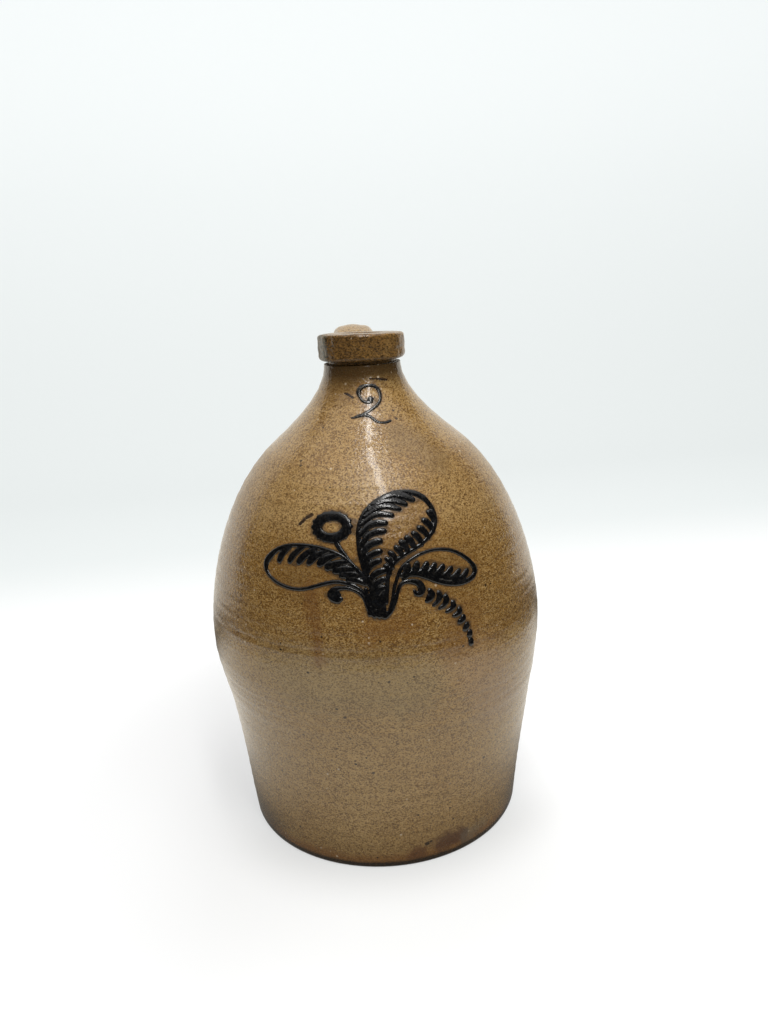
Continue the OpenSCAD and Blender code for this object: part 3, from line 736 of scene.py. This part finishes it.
def salt_glaze(name, warmth, marks=False, dark=0.0):
    """Salt glaze over buff clay. warmth takes it from grey clay to toasted brown, marks adds what sits
    in one place on the body, and dark gives the collar's deeper tone."""
    colours = settings("jug_colours")
    f = Finish(name)
    p = f.place()
    x, _, z = f.axes(p)
    cloud = f.noise(p, 0.075, 4, 0.55, 0.4)
    drift = f.noise(f.moved(p, (0.3, 0.1, 0), (1, 1, 0.35)), 0.022, 4, 0.6, 0.6)
    blotch = f.noise(f.moved(p, (1.7, 0, 0.4)), 0.0065, 3, 0.6)
    grain = f.noise(f.moved(p, scale=(0.8, 0.8, 1.25)), 0.0008, 1)
    mottle = f.cells(f.moved(p, scale=(0.85, 0.85, 1.2)), 0.00068, output="Color")
    speckle = grain * 0.6 + mottle * 0.8 - 0.2

    golden = cloud * 0.6 + drift * 0.4 + warmth
    if marks:
        dipped = f.fade(z + (blotch - 0.5) * 0.003, *GLAZE_LINE)
        golden = golden + dipped * f.fade(z, *GOLDEN_PART) * 0.12 - 0.03
    f.colour = f.mix(f.fade(golden, 0.42, 0.62), colours.clay, colours.golden)
    toast = f.fade(drift * 0.55 + blotch * 0.25 + cloud * 0.2 + warmth * 0.6, 0.51, 0.68)
    f.paint(toast * 0.5, colours.brown)
    haze = f.fade(f.noise(f.moved(p, (0.9, 0.4, 2.0)), 0.05, 3), 0.5, 0.75)
    f.paint(haze * 0.3, colours.pale)
    if marks:
        f.paint(dipped * f.fade(z, *RICH_PART) * 0.35, RICH_TINT)
        # Pale glaze below the glaze line, and on the shoulder a pale band that is partly painted light from
        # above
        f.paint((1 - dipped) * 0.27 + f.band(z, *HAZE_AND_TOP_LIGHT) * 0.15, colours.pale)
    if dark:
        f.paint(f.fade(drift * 0.6 + blotch * 0.4, 0.25, 0.6) * dark, COLLAR_TINT)
        side = x + (blotch - 0.5) * 0.002
        f.paint(f.fade(side, *FLAT_EDGE) * 0.9, FLAT_EDGE_TINT)
        f.paint(f.fade(side, *FLAT_FACE) * 0.9, FLAT_FACE_TINT)
    # The grain of the orange peel: brown iron in its hollows, paler glass on its tops
    deep, light = (COLLAR_DEEP, COLLAR_LIGHT) if dark else (colours.brown, colours.pale)
    f.paint(f.fade(speckle, 0.52, 0.72) * 0.75, deep)
    f.paint(f.fade(speckle, 0.46, 0.28) * 0.58, light)
    bumps = []
    if marks:
        bumps += jug_marks(f, p, drift, blotch, grain)
        f.paint(f.fade(speckle, 0.54, 0.72) * 0.4, deep)
    # Iron specks, and pale specks of burst lime
    size = f.noise(f.moved(p, (4, 0, 0)), 0.011, 0)
    specks = f.fade(f.cells(p, 0.0085) - f.fade(size, 0.4, 0.8) * 0.11, 0.02, -0.01)
    f.paint(specks * 0.85, IRON_TINT)
    lime = f.cells(f.moved(p, (0.5, 0.2, 0.7)), 0.0075) + f.fade(size, 0.4, 0.62) * 0.12
    lime = f.fade(lime, 0.13, 0.07) * f.fade(f.noise(f.moved(p, (0, 7, 0)), 0.05, 1), 0.46, 0.6)
    f.paint(lime * 0.8, LIME_TINT)
    if marks:
        soaked = f.node("ShaderNodeAttribute", {"attribute_name": BLEED}, output="Fac")
        f.paint(f.fade(soaked, 0.02, 0.5) * 0.35, SOAKED_TINT)
        f.paint(f.fade(soaked + (grain - 0.5) * 0.3, 0.5, 1.0) * 0.6, SOAKED_DEEP)
    peel = f.cells(f.moved(p, (0, 0, 3)), 0.0019, "SMOOTH_F1")
    bumps += [(peel * -0.00025, 1.0), (grain * 0.00012, 0.8)]
    roughness = 0.15 + 0.05 * dark + f.fade(blotch, 0.3, 0.7) * 0.06 + f.fade(grain, 0.45, 0.65) * 0.12
    if marks:
        roughness = roughness + f.band(z, *MATT_SHOULDER) * 0.14
    return f.surface(roughness, 0.5 - 0.2 * dark, 0.3 - 0.2 * dark, bumps)


def jug_marks(f, p, drift, blotch, grain):
    """Paints what sits in one place on the jug's front: patches, the foot's tones with painted shade at its
    sides and a painted contact shadow, painted shade on the neck under the collar, iron dots and kiln scars.
    Returns the bumps of scars and tooling."""
    x, y, z = f.axes(p)
    flat = f.moved(p, scale=(1, 0, 1))
    front = f.fade(y, 0, -0.02)
    uneven, wander = (blotch - 0.5) * 0.012, drift - 0.5

    def gap(start, end):
        return f.gap_to(flat, *((place[0] * MM, 0, place[1] * MM) for place in (start, end)))

    def paint_patches(patches):
        for start, end, reach, share, tint in patches:
            near = f.fade(gap(start, end) + uneven + wander * 0.02, reach * MM, reach * 0.2 * MM)
            f.paint(near * front * share, tint)

    paint_patches(GLAZE_PATCHES)
    f.paint(f.fade(z + wander * 0.03, *FOOT_SHADE) * 0.3, FOOT_TINT)
    f.paint(f.fade(z + wander * 0.01, *FOOT_TOAST) * 0.75, TOAST_TINT)
    paint_patches(FOOT_PATCHES)
    # Painted shade low down on the foot's left and right sides
    f.paint(f.fade(x.size(), *SIDE_SHADE_REACH) * f.fade(z + uneven, *FOOT_SIDE_SHADE) * 0.6, SIDE_SHADE_TINT)
    # Painted contact shadow: near black along the foot's bottom edge
    f.paint(f.fade(z + (blotch - 0.5) * 0.002, *FOOT_CONTACT_SHADE) * 0.96, CONTACT_SHADE_TINT)
    # Painted shade under the collar's overhang, dark on the top of the neck
    f.paint(f.fade(z + wander * 0.012, *NECK_SHADE) * 0.92, NECK_SHADE_TINT)
    for dot_x, dot_z, size in IRON_DOTS:
        dot = f.fade(gap((dot_x, dot_z), (dot_x + 0.4, dot_z)), size * MM, size * 0.35 * MM)
        f.paint(dot * front * 0.92, DOT_TINT)
    bumps = []
    for start, end, width, depth in SCARS:
        cut = f.fade(gap(start, end) + (grain - 0.5) * 0.0009, width * MM, width * 0.5 * MM) * front
        f.paint(cut * min(3 * depth, 0.95), SCAR_TINT)
        bumps.append((cut * -depth * MM, 0.8))
    tooling = f.node("ShaderNodeTexWave", {"bands_direction": "Z"},
                     {"Vector": p, "Scale": 62.0, "Distortion": 1.4, "Detail": 2.0, "Detail Scale": 0.6})
    where = f.fade(z, *TOOLED_NECK) * 0.7 + 0.04
    for heights, share in TOOLED:
        where = where + f.band(z, *heights) * share
    return bumps + [(tooling * where * 0.00016, 0.7)]


def cobalt_glaze(name, pale):
    """Glossy blue-black slip. pale lets the clay's grey through, as in a thin line."""
    colours = settings("jug_colours")
    f = Finish(name)
    p = f.place()
    patch = f.noise(p, 0.004, 3, 0.6)
    grain = f.noise(f.moved(p, (1, 0, 0)), 0.0012, 1)
    f.colour = f.mix(f.fade(patch, 0.48, 0.7) * (0.5 + pale), colours.cobalt, colours.cobalt_thin)
    f.paint(f.fade(grain, 0.5, 0.64) * (0.08 + pale), CLAY_THROUGH_TINT)
    return f.surface(0.15 + f.fade(grain, 0.4, 0.7) * 0.1, 0.45, 0.22, [(grain * 0.0002, 0.5)])


# Tones of the sweep as the camera sees it, with light and shade painted in: the floor, a painted shadow on
# the left and painted light near the camera and on the right, the curve behind, the wall, the painted soft
# shadow round the foot and its core in front
FLOOR_TONE, LEFT_SHADOW_TONE, NEAR_LIGHT_TONE = (0.72, 0.725, 0.73), (0.57, 0.575, 0.58), (0.79, 0.795, 0.8)
CURVE_TONE, WALL_TONE = (0.555, 0.595, 0.595), (0.68, 0.72, 0.725)
SHADOW_TONE, CORE_TONE = (0.4, 0.405, 0.4), (0.33, 0.335, 0.33)
SHADOW_MIDDLE = (0, -0.1, 0)
# What the sweep is to other rays: grey paper, and in gloss a white sheet beside dark
PAPER_TONE, SEEN_PAPER_TONE = (0.5, 0.5, 0.495), (0.35, 0.355, 0.36)
SHEET_TONE, DARK_TONE, DARK_GLOW = (1, 0.95, 0.85), (1, 0.95, 0.88), 0.05


def plain_sweep(name):
    """The pale sweep. The camera sees it with painted light and shade: a soft painted shadow round the foot
    and to its left, and painted light near the camera and on the right. Gloss sees a white sheet on it,
    dimmed by painted shade near the foot, and everything else sees grey paper."""
    f = Finish(name)
    p = f.place()
    x, y, z = f.axes(p)
    camera, gloss = f.rays()
    from_axis = f.vector("LENGTH", {0: p}, "Value")
    from_shadow = f.vector("DISTANCE", {0: p, 1: SHADOW_MIDDLE}, "Value")
    # Painted shadow: the floor darker to the jug's left
    f.colour = f.mix(f.fade(x, -0.03, -0.13) * f.fade(from_axis, 0.4, 0.2), FLOOR_TONE, LEFT_SHADOW_TONE)
    # Painted light: the floor lighter near the camera and on the right
    f.paint(f.fade(y, -0.1, -0.3) * f.fade(x, -0.2, -0.05) + f.fade(x, 0.08, 0.2) * f.fade(y, 0.3, 0.1) * 0.2,
            NEAR_LIGHT_TONE)
    f.paint(f.fade(y, 0.3, 0.65), CURVE_TONE)
    f.paint(f.fade(z, 0.05, 1.0), WALL_TONE)
    f.paint(f.fade(from_shadow, 0.22, 0.06) * 0.6, SHADOW_TONE)
    f.paint(f.fade(from_axis, 0.145, 0.1) * f.fade(y, -0.02, -0.08) * 0.5, CORE_TONE)
    seen = f.node("ShaderNodeAddShader", sockets={
        0: f.shader("BsdfDiffuse", SEEN_PAPER_TONE), 1: f.shader("Emission", f.colour, 1.0)})
    sheet = f.band(x, -0.62, -0.54, 0.36, 0.44) * f.fade(y, 0.32, 0.15)
    # The white sheet dims near the foot: painted shade of the jug in what gloss mirrors
    sheet = sheet * f.fade(from_axis, 0.1, 0.18, 0.15, 1.0)
    mirrored = f.blend(sheet.most(f.fade(y, 0.25, 0.5)), f.shader("Emission", DARK_TONE, DARK_GLOW),
                       f.shader("Emission", SHEET_TONE, 1.0))
    other = f.blend(gloss, f.shader("BsdfDiffuse", PAPER_TONE), mirrored)
    return f.end(f.blend(camera, other, seen))


# Operators

# Only points above this height and this close to the wall's outside are looked at for it
SPRAY_FOOT, WALL_HALF = 0.15, 0.003
# The front, where the spray lies, is turned in finer steps than the rest
FRONT_TURN = math.radians(100)
FRONT_STEPS, BACK_STEPS = 176, 120
FINE_ROW, COARSE_ROW, INSIDE_ROW = 0.00115, 0.0023, 0.0055
FINE_FROM, FINE_TO = 0.155, 0.255
# How far the lower wall leans to the right
LEAN = 0.0011
# The underside: radius and height of its hollow middle, then steps in from the foot's radius and heights
UNDER_MIDDLE = ((0.0, 0.0006), (0.03, 0.0006), (0.06, 0.0005))
UNDER_RING = ((0.016, 0.0003), (0.012, 0.0), (0.005, 0.0))
RING_PITCH, FINE_RING_PITCH = 0.0093, 0.0047


class JUG_OT_body(bpy.types.Operator):
    """Throw the body: foot, wall, belly, shoulder and neck, with the hollow inside"""

    bl_idname = "jug.body"
    bl_label = "Throw the body"

    def execute(self, context):
        sizes = settings("jug_sizes")
        outer = respaced(wall_curve(sizes, 0, sizes.neck_top, sizes.neck_radius),
                         lambda z: FINE_ROW if FINE_FROM < z < FINE_TO else COARSE_ROW)
        outer[:, 0] = np.minimum(outer[:, 0] + self.rings(outer[:, 1], sizes), sizes.belly_radius)
        bore_z = sizes.neck_top - sizes.bore_depth
        inner = respaced(wall_curve(sizes, sizes.wall, bore_z, sizes.mouth_radius), lambda z: INSIDE_ROW)
        fillet = arc((inner[0][0] - FLOOR_FILLET, sizes.floor + FLOOR_FILLET), FLOOR_FILLET, 0, -90, 6)
        ring = UNDER_RING + ((sizes.foot_bevel, 0.00005), (0.0004, 0.0005))
        under = list(UNDER_MIDDLE) + [(sizes.foot_radius - step, height) for step, height in ring]
        inside = [(x, sizes.floor) for x in np.linspace(fillet[-1][0], 0, 5)[1:]]
        outline = under + outer.tolist() + inner[::-1].tolist() + fillet[1:].tolist() + inside
        jug = turned_piece("jug_body", outline, -FRONT_TURN / 2,
                           ((FRONT_TURN, FRONT_STEPS), (2 * math.pi - FRONT_TURN, BACK_STEPS)))
        self.unsettle(jug, sizes)
        self.soak(jug)
        finish_piece(jug, salt_glaze("salt glazed clay", 0.0, marks=True), "salt_glazed_clay",
                     "thrown_body")
        return {"FINISHED"}

    @staticmethod
    def rings(z, sizes):
        """Throwing rings of uneven pitch, and the low step where the trimmed part ends."""
        turn = 2 * math.pi * z
        rings = np.sin(turn / RING_PITCH + 1.5 * np.sin(z * 41)) + 0.6 * np.sin(turn / FINE_RING_PITCH)
        fadeout = fade(z, 0.004, 0.02) * fade(z, sizes.neck_top, sizes.neck_top - 0.006)
        step = 0.0005 * fade(z, 0.097, 0.108) * fade(z, 0.150, 0.122)
        return sizes.ring_depth * rings * fadeout + step

    @staticmethod
    def unsettle(jug, sizes):
        """The wall leans to one side below the belly and is a little uneven, as hand-thrown walls are.
        Foot, neck and spray stay true."""
        places = vertices_of(jug)
        _, y, z = places.T
        lower = fade(z, 0.004, 0.05) * fade(z, 0.16, 0.12)
        behind = fade(y, -0.02, 0.03) * fade(z, 0.1, 0.15) * fade(z, sizes.neck_top - 0.004, 0.27)
        places[:, 0] += LEAN * fade(z, 0.02, 0.08) * fade(z, 0.135, 0.095)
        set_vertices(jug, places)
        vertex_group(jug, "free wall", np.maximum(lower, behind))
        lump(jug, "wall swell", 0.11, sizes.wobble, 1.0, "free wall")

    @staticmethod
    def soak(jug):
        """Writes how far cobalt has bled into the glaze round each stroke."""
        slip = settings("jug_slip")
        wall = Wall(settings("jug_sizes"))
        strokes = np.vstack([line for group in spray_lines().values() for line in group] + numeral_lines())
        centres = wall.lay(np.column_stack([*wall.unroll(strokes[:, 0], strokes[:, 1]), 0 * strokes[:, 0]]))
        places = vertices_of(jug)
        near = np.nonzero((places[:, 1] < 0) & (places[:, 2] > SPRAY_FOOT)
                          & (np.hypot(places[:, 0], places[:, 1]) > wall.radius(places[:, 2]) - WALL_HALF))[0]
        soaked = np.zeros(len(places))
        for chunk in np.array_split(near, 40):
            gaps = np.linalg.norm(places[chunk][:, None] - centres[None], axis=2) - strokes[:, 2] / 2
            soaked[chunk] = fade(gaps.min(axis=1), slip.bleed, 0)
        layer = jug.data.attributes.new(BLEED, "FLOAT", "POINT")
        layer.data.foreach_set("value", soaked)


# Roundings of the collar's outer and inner edges, and the rise of its top
TUCK, TURN, LIP, DOME = 0.0034, 0.0025, 0.002, 0.0003
COLLAR_STEPS = 180
# The collar's top is this much higher on its left, and its middle lies this much under its front edge
COLLAR_LEAN, COLLAR_SAG = 0.0008, 0.0008
COLLAR_DROP = 0.0002
# Where the flat on its left starts and is full, measured across the collar, and how deep it is cut
FLAT_ACROSS, FLAT_CUT = (0.0262, 0.0284), 0.03


class JUG_OT_collar(bpy.types.Operator):
    """Turn the collar ring with its undercut, rounded edges and small knocks"""

    bl_idname = "jug.collar"
    bl_label = "Turn the collar"

    def execute(self, context):
        sizes = settings("jug_sizes")
        low, high, radius = COLLAR_LOW[2], COLLAR_HIGH[2], COLLAR_HIGH[0]
        mouth = sizes.mouth_radius
        groove_top, groove_r = low + sizes.groove_height, sizes.neck_radius - sizes.groove_depth
        edge, rim = high - DOME, mouth + LIP
        outline = [(r, low) for r in np.linspace(mouth, groove_r, 4)]
        outline += [(groove_r, z) for z in np.linspace(low, groove_top, 4)[1:]]
        outline += [(r, groove_top) for r in np.linspace(groove_r, radius - TUCK, 6)[1:-1]]
        outline += arc((radius - TUCK, groove_top + TUCK), TUCK, -90, 0, 6).tolist()
        outline += [(radius, z) for z in np.linspace(groove_top + TUCK, edge - TURN, 13)[1:-1]]
        outline += arc((radius - TURN, edge - TURN), TURN, 0, 80, 9).tolist()
        # The top is a low dome between its two roundings
        outline += [(r, high - DOME * (2 * (r - rim) / (radius - TURN - rim) - 1) ** 2)
                    for r in np.linspace(outline[-1][0], rim, 9)[1:-1]]
        outline += arc((rim, edge - LIP), LIP, 90, 180, 7).tolist()
        outline += [(mouth, z) for z in np.linspace(edge - LIP, low, 12)[1:-1]]
        ring = turned_piece("collar_ring", outline + outline[:1], 0, ((2 * math.pi, COLLAR_STEPS),))
        self.knock(ring, low)
        finish_piece(ring, salt_glaze("salt glazed collar", 0.1, dark=0.65), "salt_glazed_collar", "collar")
        return {"FINISHED"}

    @staticmethod
    def knock(ring, low):
        """The collar leans, is uneven on top, and has a pressed flat on its left."""
        places = vertices_of(ring)
        x, y, z = places.T
        above = fade(z, low + 0.004, low + 0.012)
        outside = fade(np.hypot(x, y), 0.019, 0.026)
        lean, sag = COLLAR_LEAN * fade(x, 0.02, -0.02), COLLAR_SAG * (1 + y / COLLAR_HIGH[0])
        places[:, 2] += above * (lean - COLLAR_DROP - sag)
        ledge = fade(-x * 0.9 - y * 0.42, *FLAT_ACROSS) * outside * fade(z, low + 0.0022, low + 0.0045)
        places[:, :2] *= 1 - FLAT_CUT * ledge[:, None]
        set_vertices(ring, places)
        vertex_group(ring, "outside", outside * fade(z, low + 0.0024, low + 0.006))
        lump(ring, "collar lumps", 0.012, 0.0012, 0.72, "outside")
        lump(ring, "collar knocks", 0.004, 0.0007, 0.6, "outside")


# Where the strap lands and turns, its depth under the wall as a share of its thickness, and its corners
STRAP_LANDING_DROP, STRAP_REACH, STRAP_ELBOW_DROP = 0.027, 0.014, 0.022
STRAP_SINK, STRAP_CORNER = 0.27, 0.8
# The arch's place between collar and elbow, its gap to the strap's top, and the pull of its last curve
ARCH_SHARE, ARCH_GAP, ELBOW_PULL = 0.46, 0.0002, 1.7
STRAP_STEPS, STRAP_SIDES = 14, 32
# How much wider its ends are, how much thinner its foot is, and the grooves that fingers leave along it:
# depth, and place and width as shares of the strap's width
STRAP_FLARE, STRAP_THINNING = 0.36, 0.5
FINGER_DEPTH, FINGER_PLACE, FINGER_WIDTH = 0.0007, 0.2, 0.07
# Two thumb presses, as x and height, with their reach and depth
THUMBS = ((-0.0065, 0.2475), (0.0065, 0.2475))
THUMB_REACH, THUMB_DEPTH = 0.0052, 0.0016


class JUG_OT_strap(bpy.types.Operator):
    """Pull the strap, bend it from the collar to the shoulder and press it on"""

    bl_idname = "jug.strap"
    bl_label = "Pull the strap"

    def execute(self, context):
        sizes = settings("jug_sizes")
        thickness = sizes.strap_thickness
        wall = Wall(sizes)
        landing_z = sizes.shoulder_height - STRAP_LANDING_DROP
        slope = float(wall.radius(landing_z + MM) - wall.radius(landing_z - MM)) / (2 * MM)
        out = np.array((1, -slope)) / math.hypot(1, slope)
        up = np.array((-out[1], out[0]))
        landing = np.array((float(wall.radius(landing_z)), landing_z)) - STRAP_SINK * thickness * out
        elbow = np.array((sizes.shoulder_radius + STRAP_REACH, sizes.neck_top - STRAP_ELBOW_DROP))
        arch = np.array((COLLAR_HIGH[0] + ARCH_SHARE * (elbow[0] - COLLAR_HIGH[0]),
                         STRAP_HIGH[2] - thickness / 2 - ARCH_GAP))
        root = np.array(((sizes.mouth_radius + COLLAR_HIGH[0]) / 2, COLLAR_HIGH[2] - thickness))
        pull = ELBOW_PULL * thickness
        line = np.vstack([
            bezier(root, root + thickness * np.array((0.5, 0.25)), arch - (thickness, 0), arch, STRAP_STEPS),
            bezier(arch, arch + (thickness, 0), elbow + (0, thickness), elbow, STRAP_STEPS)[1:],
            bezier(elbow, elbow - (0, pull), landing + pull * up, landing, STRAP_STEPS)[1:],
        ])
        strap = self.pull(line, sizes.strap_width, thickness)
        apply_modifier(strap, "SUBSURF", levels=1, render_levels=1)
        self.press_on(strap, wall)
        vertex_group(strap, "pulled", np.ones(len(strap.data.vertices)))
        lump(strap, "pulled clay", 0.018, 0.0012, 0.75, "pulled")
        activate(strap)
        bpy.ops.object.shade_smooth()
        finish_piece(strap, salt_glaze("salt glazed strap", -0.05), "salt_glazed_strap", "strap_handle")
        return {"FINISHED"}

    @staticmethod
    def pull(line, width, thickness):
        """A ring of points is extruded along the line, and each ring takes its width and tilt there."""
        strap = new_piece("strap", bpy.ops.mesh.primitive_circle_add, vertices=STRAP_SIDES, radius=width / 2,
                          fill_type="NGON")
        bpy.ops.mesh.select_all(action="SELECT")
        for _ in range(len(line) - 1):
            extrude((0, 0, MM))
        mode("OBJECT")
        places = vertices_of(strap)
        angles = np.arctan2(places[:, 1], places[:, 0])
        rings = np.rint(places[:, 2] / MM).astype(int)
        runs = np.gradient(line, axis=0)
        runs /= np.linalg.norm(runs, axis=1, keepdims=True)
        share = rings / (len(line) - 1)
        flare = 1 + STRAP_FLARE * np.abs(2 * share - 1) ** 7
        thin = 1 - STRAP_THINNING * share ** 6
        c, s = np.cos(angles), np.sin(angles)
        across = flare * width / 2 * np.sign(c) * np.abs(c) ** STRAP_CORNER
        from_groove = (np.abs(across) / width - FINGER_PLACE) / FINGER_WIDTH
        fingers = np.where(s > 0, FINGER_DEPTH * np.exp(-from_groove ** 2), 0)
        out = thin * thickness / 2 * np.sign(s) * np.abs(s) ** STRAP_CORNER - fingers * thin
        set_vertices(strap, np.stack([
            across, line[rings, 0] - out * runs[rings, 1], line[rings, 1] + out * runs[rings, 0]], axis=1))
        activate(strap)
        mode("EDIT")
        face_outwards()
        mode("OBJECT")
        return strap

    @staticmethod
    def press_on(strap, wall):
        """Two thumb presses smear the strap's foot onto the shoulder."""
        places = vertices_of(strap)
        x, y, z = places.T
        out = np.hypot(x, y) - wall.radius(z)
        foot = fade(z, 0.262, 0.25) * fade(out, 0.0, 0.003)
        for press_x, press_z in THUMBS:
            dent = np.exp(-((x - press_x) ** 2 + (z - press_z) ** 2) / THUMB_REACH ** 2) * foot
            places[:, 1] -= THUMB_DEPTH * dent
        set_vertices(strap, places)


def slip_piece(name, lines, thickness=1.0):
    """Strokes laid out flat as round lines half sunk in a sheet, fused, and bent onto the jug."""
    slip = settings("jug_slip")
    wall = Wall(settings("jug_sizes"))
    curve = bpy.data.curves.new(name, "CURVE")
    curve.dimensions = "3D"
    curve.bevel_depth = 1.0
    curve.bevel_resolution = 3
    curve.use_fill_caps = True
    for line in lines:
        round_jug, up = wall.unroll(line[:, 0], line[:, 1])
        half = line[:, 2] / 2 * SINK_GAIN
        spline = curve.splines.new("POLY")
        spline.points.add(len(line) - 1)
        co = np.column_stack([round_jug, up, -SINK * half, np.ones(len(line))])
        spline.points.foreach_set("co", co.ravel())
        spline.points.foreach_set("radius", half)
    piece = bpy.data.objects.new(name, curve)
    bpy.context.collection.objects.link(piece)
    activate(piece)
    bpy.ops.object.convert(target="MESH")
    piece = bpy.context.object
    apply_modifier(piece, "REMESH", mode="VOXEL", voxel_size=slip.voxel)
    apply_modifier(piece, "SMOOTH", factor=0.5, iterations=4)
    sheet = vertices_of(piece)
    limit = slip.height * thickness
    sheet[:, 2] = limit * np.tanh(sheet[:, 2] * thickness / limit)
    set_vertices(piece, wall.lay(sheet))
    activate(piece)
    bpy.ops.object.shade_smooth()
    return piece


class JUG_OT_spray(bpy.types.Operator):
    """Trail the cobalt spray: leaves, flower, curl, stems and tail"""

    bl_idname = "jug.spray"
    bl_label = "Trail the spray"

    def execute(self, context):
        glaze = cobalt_glaze("cobalt slip", 0.0)
        for node, lines in spray_lines().items():
            piece = slip_piece(node.replace("cobalt", "trailed"), lines)
            finish_piece(piece, glaze, "cobalt_slip", node)
        return {"FINISHED"}


class JUG_OT_numeral(bpy.types.Operator):
    """Trail the thin capacity numeral under the neck"""

    bl_idname = "jug.numeral"
    bl_label = "Trail the numeral"

    def execute(self, context):
        piece = slip_piece("capacity_numeral", numeral_lines(), 0.6)
        finish_piece(piece, cobalt_glaze("thin cobalt slip", 0.45), "cobalt_slip")
        return {"FINISHED"}


# The sweep: width, depth and middle of its floor, radius and steps of its curve, and the wall above that
SWEEP_WIDTH, SWEEP_DEPTH, SWEEP_MIDDLE = 5.0, 1.62, 0.19
SWEEP_CURVE, SWEEP_STEPS, SWEEP_RISE = 0.6, 12, 1.6
# Lamps: name, place, width, depth and share of the power
LAMPS = (("overhead", (0.1, -0.45, 1.3), 0.9, 0.9, 0.74), ("strip", (0.1, -0.55, 1.35), 0.11, 1.0, 0.36))
LAMP_COLOUR = (1.0, 0.985, 0.96)
AIM_HEIGHT = 0.15


class JUG_OT_studio(bpy.types.Operator):
    """Lay the pale sweep, hang the lamps and set the camera"""

    bl_idname = "jug.studio"
    bl_label = "Set the studio"

    def execute(self, context):
        self.lay_sweep()
        self.light_world()
        self.hang_lamps()
        self.set_camera()
        context.scene.view_settings.view_transform = "Standard"
        return {"FINISHED"}

    @staticmethod
    def lay_sweep():
        """A floor that curves up behind the jug and ends short of the camera."""
        sweep = new_piece("sweep", bpy.ops.mesh.primitive_plane_add, size=1)
        bpy.ops.transform.resize(value=(SWEEP_WIDTH, SWEEP_DEPTH, 1))
        bpy.ops.transform.translate(value=(0, SWEEP_MIDDLE, 0))
        bpy.ops.mesh.select_mode(type="EDGE")
        bpy.ops.mesh.select_all(action="DESELECT")
        mode("OBJECT")
        for edge in sweep.data.edges:
            edge.select = all(sweep.data.vertices[i].co.y > SWEEP_MIDDLE for i in edge.vertices)
        mode("EDIT")
        turns = np.linspace(0, math.pi / 2, SWEEP_STEPS + 1)
        for a, b in zip(turns, turns[1:]):
            extrude((0, SWEEP_CURVE * (math.sin(b) - math.sin(a)), SWEEP_CURVE * (math.cos(a) - math.cos(b))))
        extrude((0, 0, SWEEP_RISE))
        mode("OBJECT")
        bpy.ops.object.shade_smooth()
        sweep.data.materials.append(plain_sweep("pale sweep"))

    @staticmethod
    def light_world():
        """Even light on the jug; its gloss sees a bright ceiling and a dark room in front."""
        f = Finish("room", "worlds")
        _, y, z = f.axes(f.node("ShaderNodeTexCoord", output="Generated"))
        camera, gloss = f.rays()
        dark = f.fade(y, 0.6, 0.42) * f.fade(z, 0.85, 0.67)
        mirrored = f.blend(dark, f.shader("Background", (1, 0.99, 0.97), 1.0),
                           f.shader("Background", (1, 0.98, 0.95), 0.03))
        light = f.blend(gloss, f.shader("Background", (1, 0.98, 0.94), 0.6), mirrored)
        seen = f.shader("Background", (0.93, 0.97, 1.0), 1.0)
        bpy.context.scene.world = f.end(f.blend(camera, light, seen), "World")

    @staticmethod
    def hang_lamps():
        """A wide soft lamp overhead, and a narrow strip that draws the streak on the neck."""
        power = settings("jug_studio").lamp_power
        for name, place, width, depth, share in LAMPS:
            lamp = bpy.data.lights.new(name, "AREA")
            lamp.shape = "RECTANGLE"
            lamp.size = width
            lamp.size_y = depth
            lamp.energy = power * share
            lamp.color = LAMP_COLOUR
            holder = bpy.data.objects.new(name, lamp)
            bpy.context.collection.objects.link(holder)
            holder.location = place
            aim = Vector((0, 0, AIM_HEIGHT)) - holder.location
            holder.rotation_euler = aim.to_track_quat("-Z", "Y").to_euler()
            holder.visible_glossy = name == "strip"

    @staticmethod
    def set_camera():
        """The photograph's viewpoint: slightly left of the jug's front, looking down and leaning."""
        studio = settings("jug_studio")
        camera = bpy.data.objects.new("camera", bpy.data.cameras.new("camera"))
        bpy.context.collection.objects.link(camera)
        camera.data.sensor_fit = "VERTICAL"
        camera.data.sensor_height = 36.0
        camera.data.lens = studio.lens

        def turned(angle, axis):
            return Matrix.Rotation(angle, 4, axis)

        stand = Matrix.Translation((0, -studio.distance, studio.eye_height))
        camera.matrix_world = (turned(-studio.turn, "Z") @ stand @ turned(-studio.yaw, "Z")
                               @ turned(math.pi / 2 - studio.pitch, "X") @ turned(-studio.roll, "Z"))
        bpy.context.scene.camera = camera


STEPS = (JUG_OT_body, JUG_OT_collar, JUG_OT_strap, JUG_OT_spray, JUG_OT_numeral, JUG_OT_studio)


class JUG_PT_workshop(bpy.types.Panel):
    """Lists the steps and sizes of the jug"""

    bl_idname = "JUG_PT_workshop"
    bl_label = "Stoneware jug"
    bl_space_type = "VIEW_3D"
    bl_region_type = "UI"
    bl_category = "Jug"

    def draw(self, context):
        for step in STEPS:
            self.layout.operator(step.bl_idname)
        for name, group in SETTINGS.items():
            box = self.layout.box()
            for key in group.__annotations__:
                box.prop(getattr(context.scene, name), key)


def register():
    for group in SETTINGS.values():
        bpy.utils.register_class(group)
    for name, group in SETTINGS.items():
        setattr(bpy.types.Scene, name, PointerProperty(type=group))
    for step in STEPS:
        bpy.utils.register_class(step)
    bpy.utils.register_class(JUG_PT_workshop)


def unregister():
    bpy.utils.unregister_class(JUG_PT_workshop)
    for step in reversed(STEPS):
        bpy.utils.unregister_class(step)
    for name in SETTINGS:
        delattr(bpy.types.Scene, name)
    for group in reversed(list(SETTINGS.values())):
        bpy.utils.unregister_class(group)


def main():
    register()
    for step in STEPS:
        group, name = step.bl_idname.split(".")
        getattr(getattr(bpy.ops, group), name)()


if __name__ == "__main__":
    main()
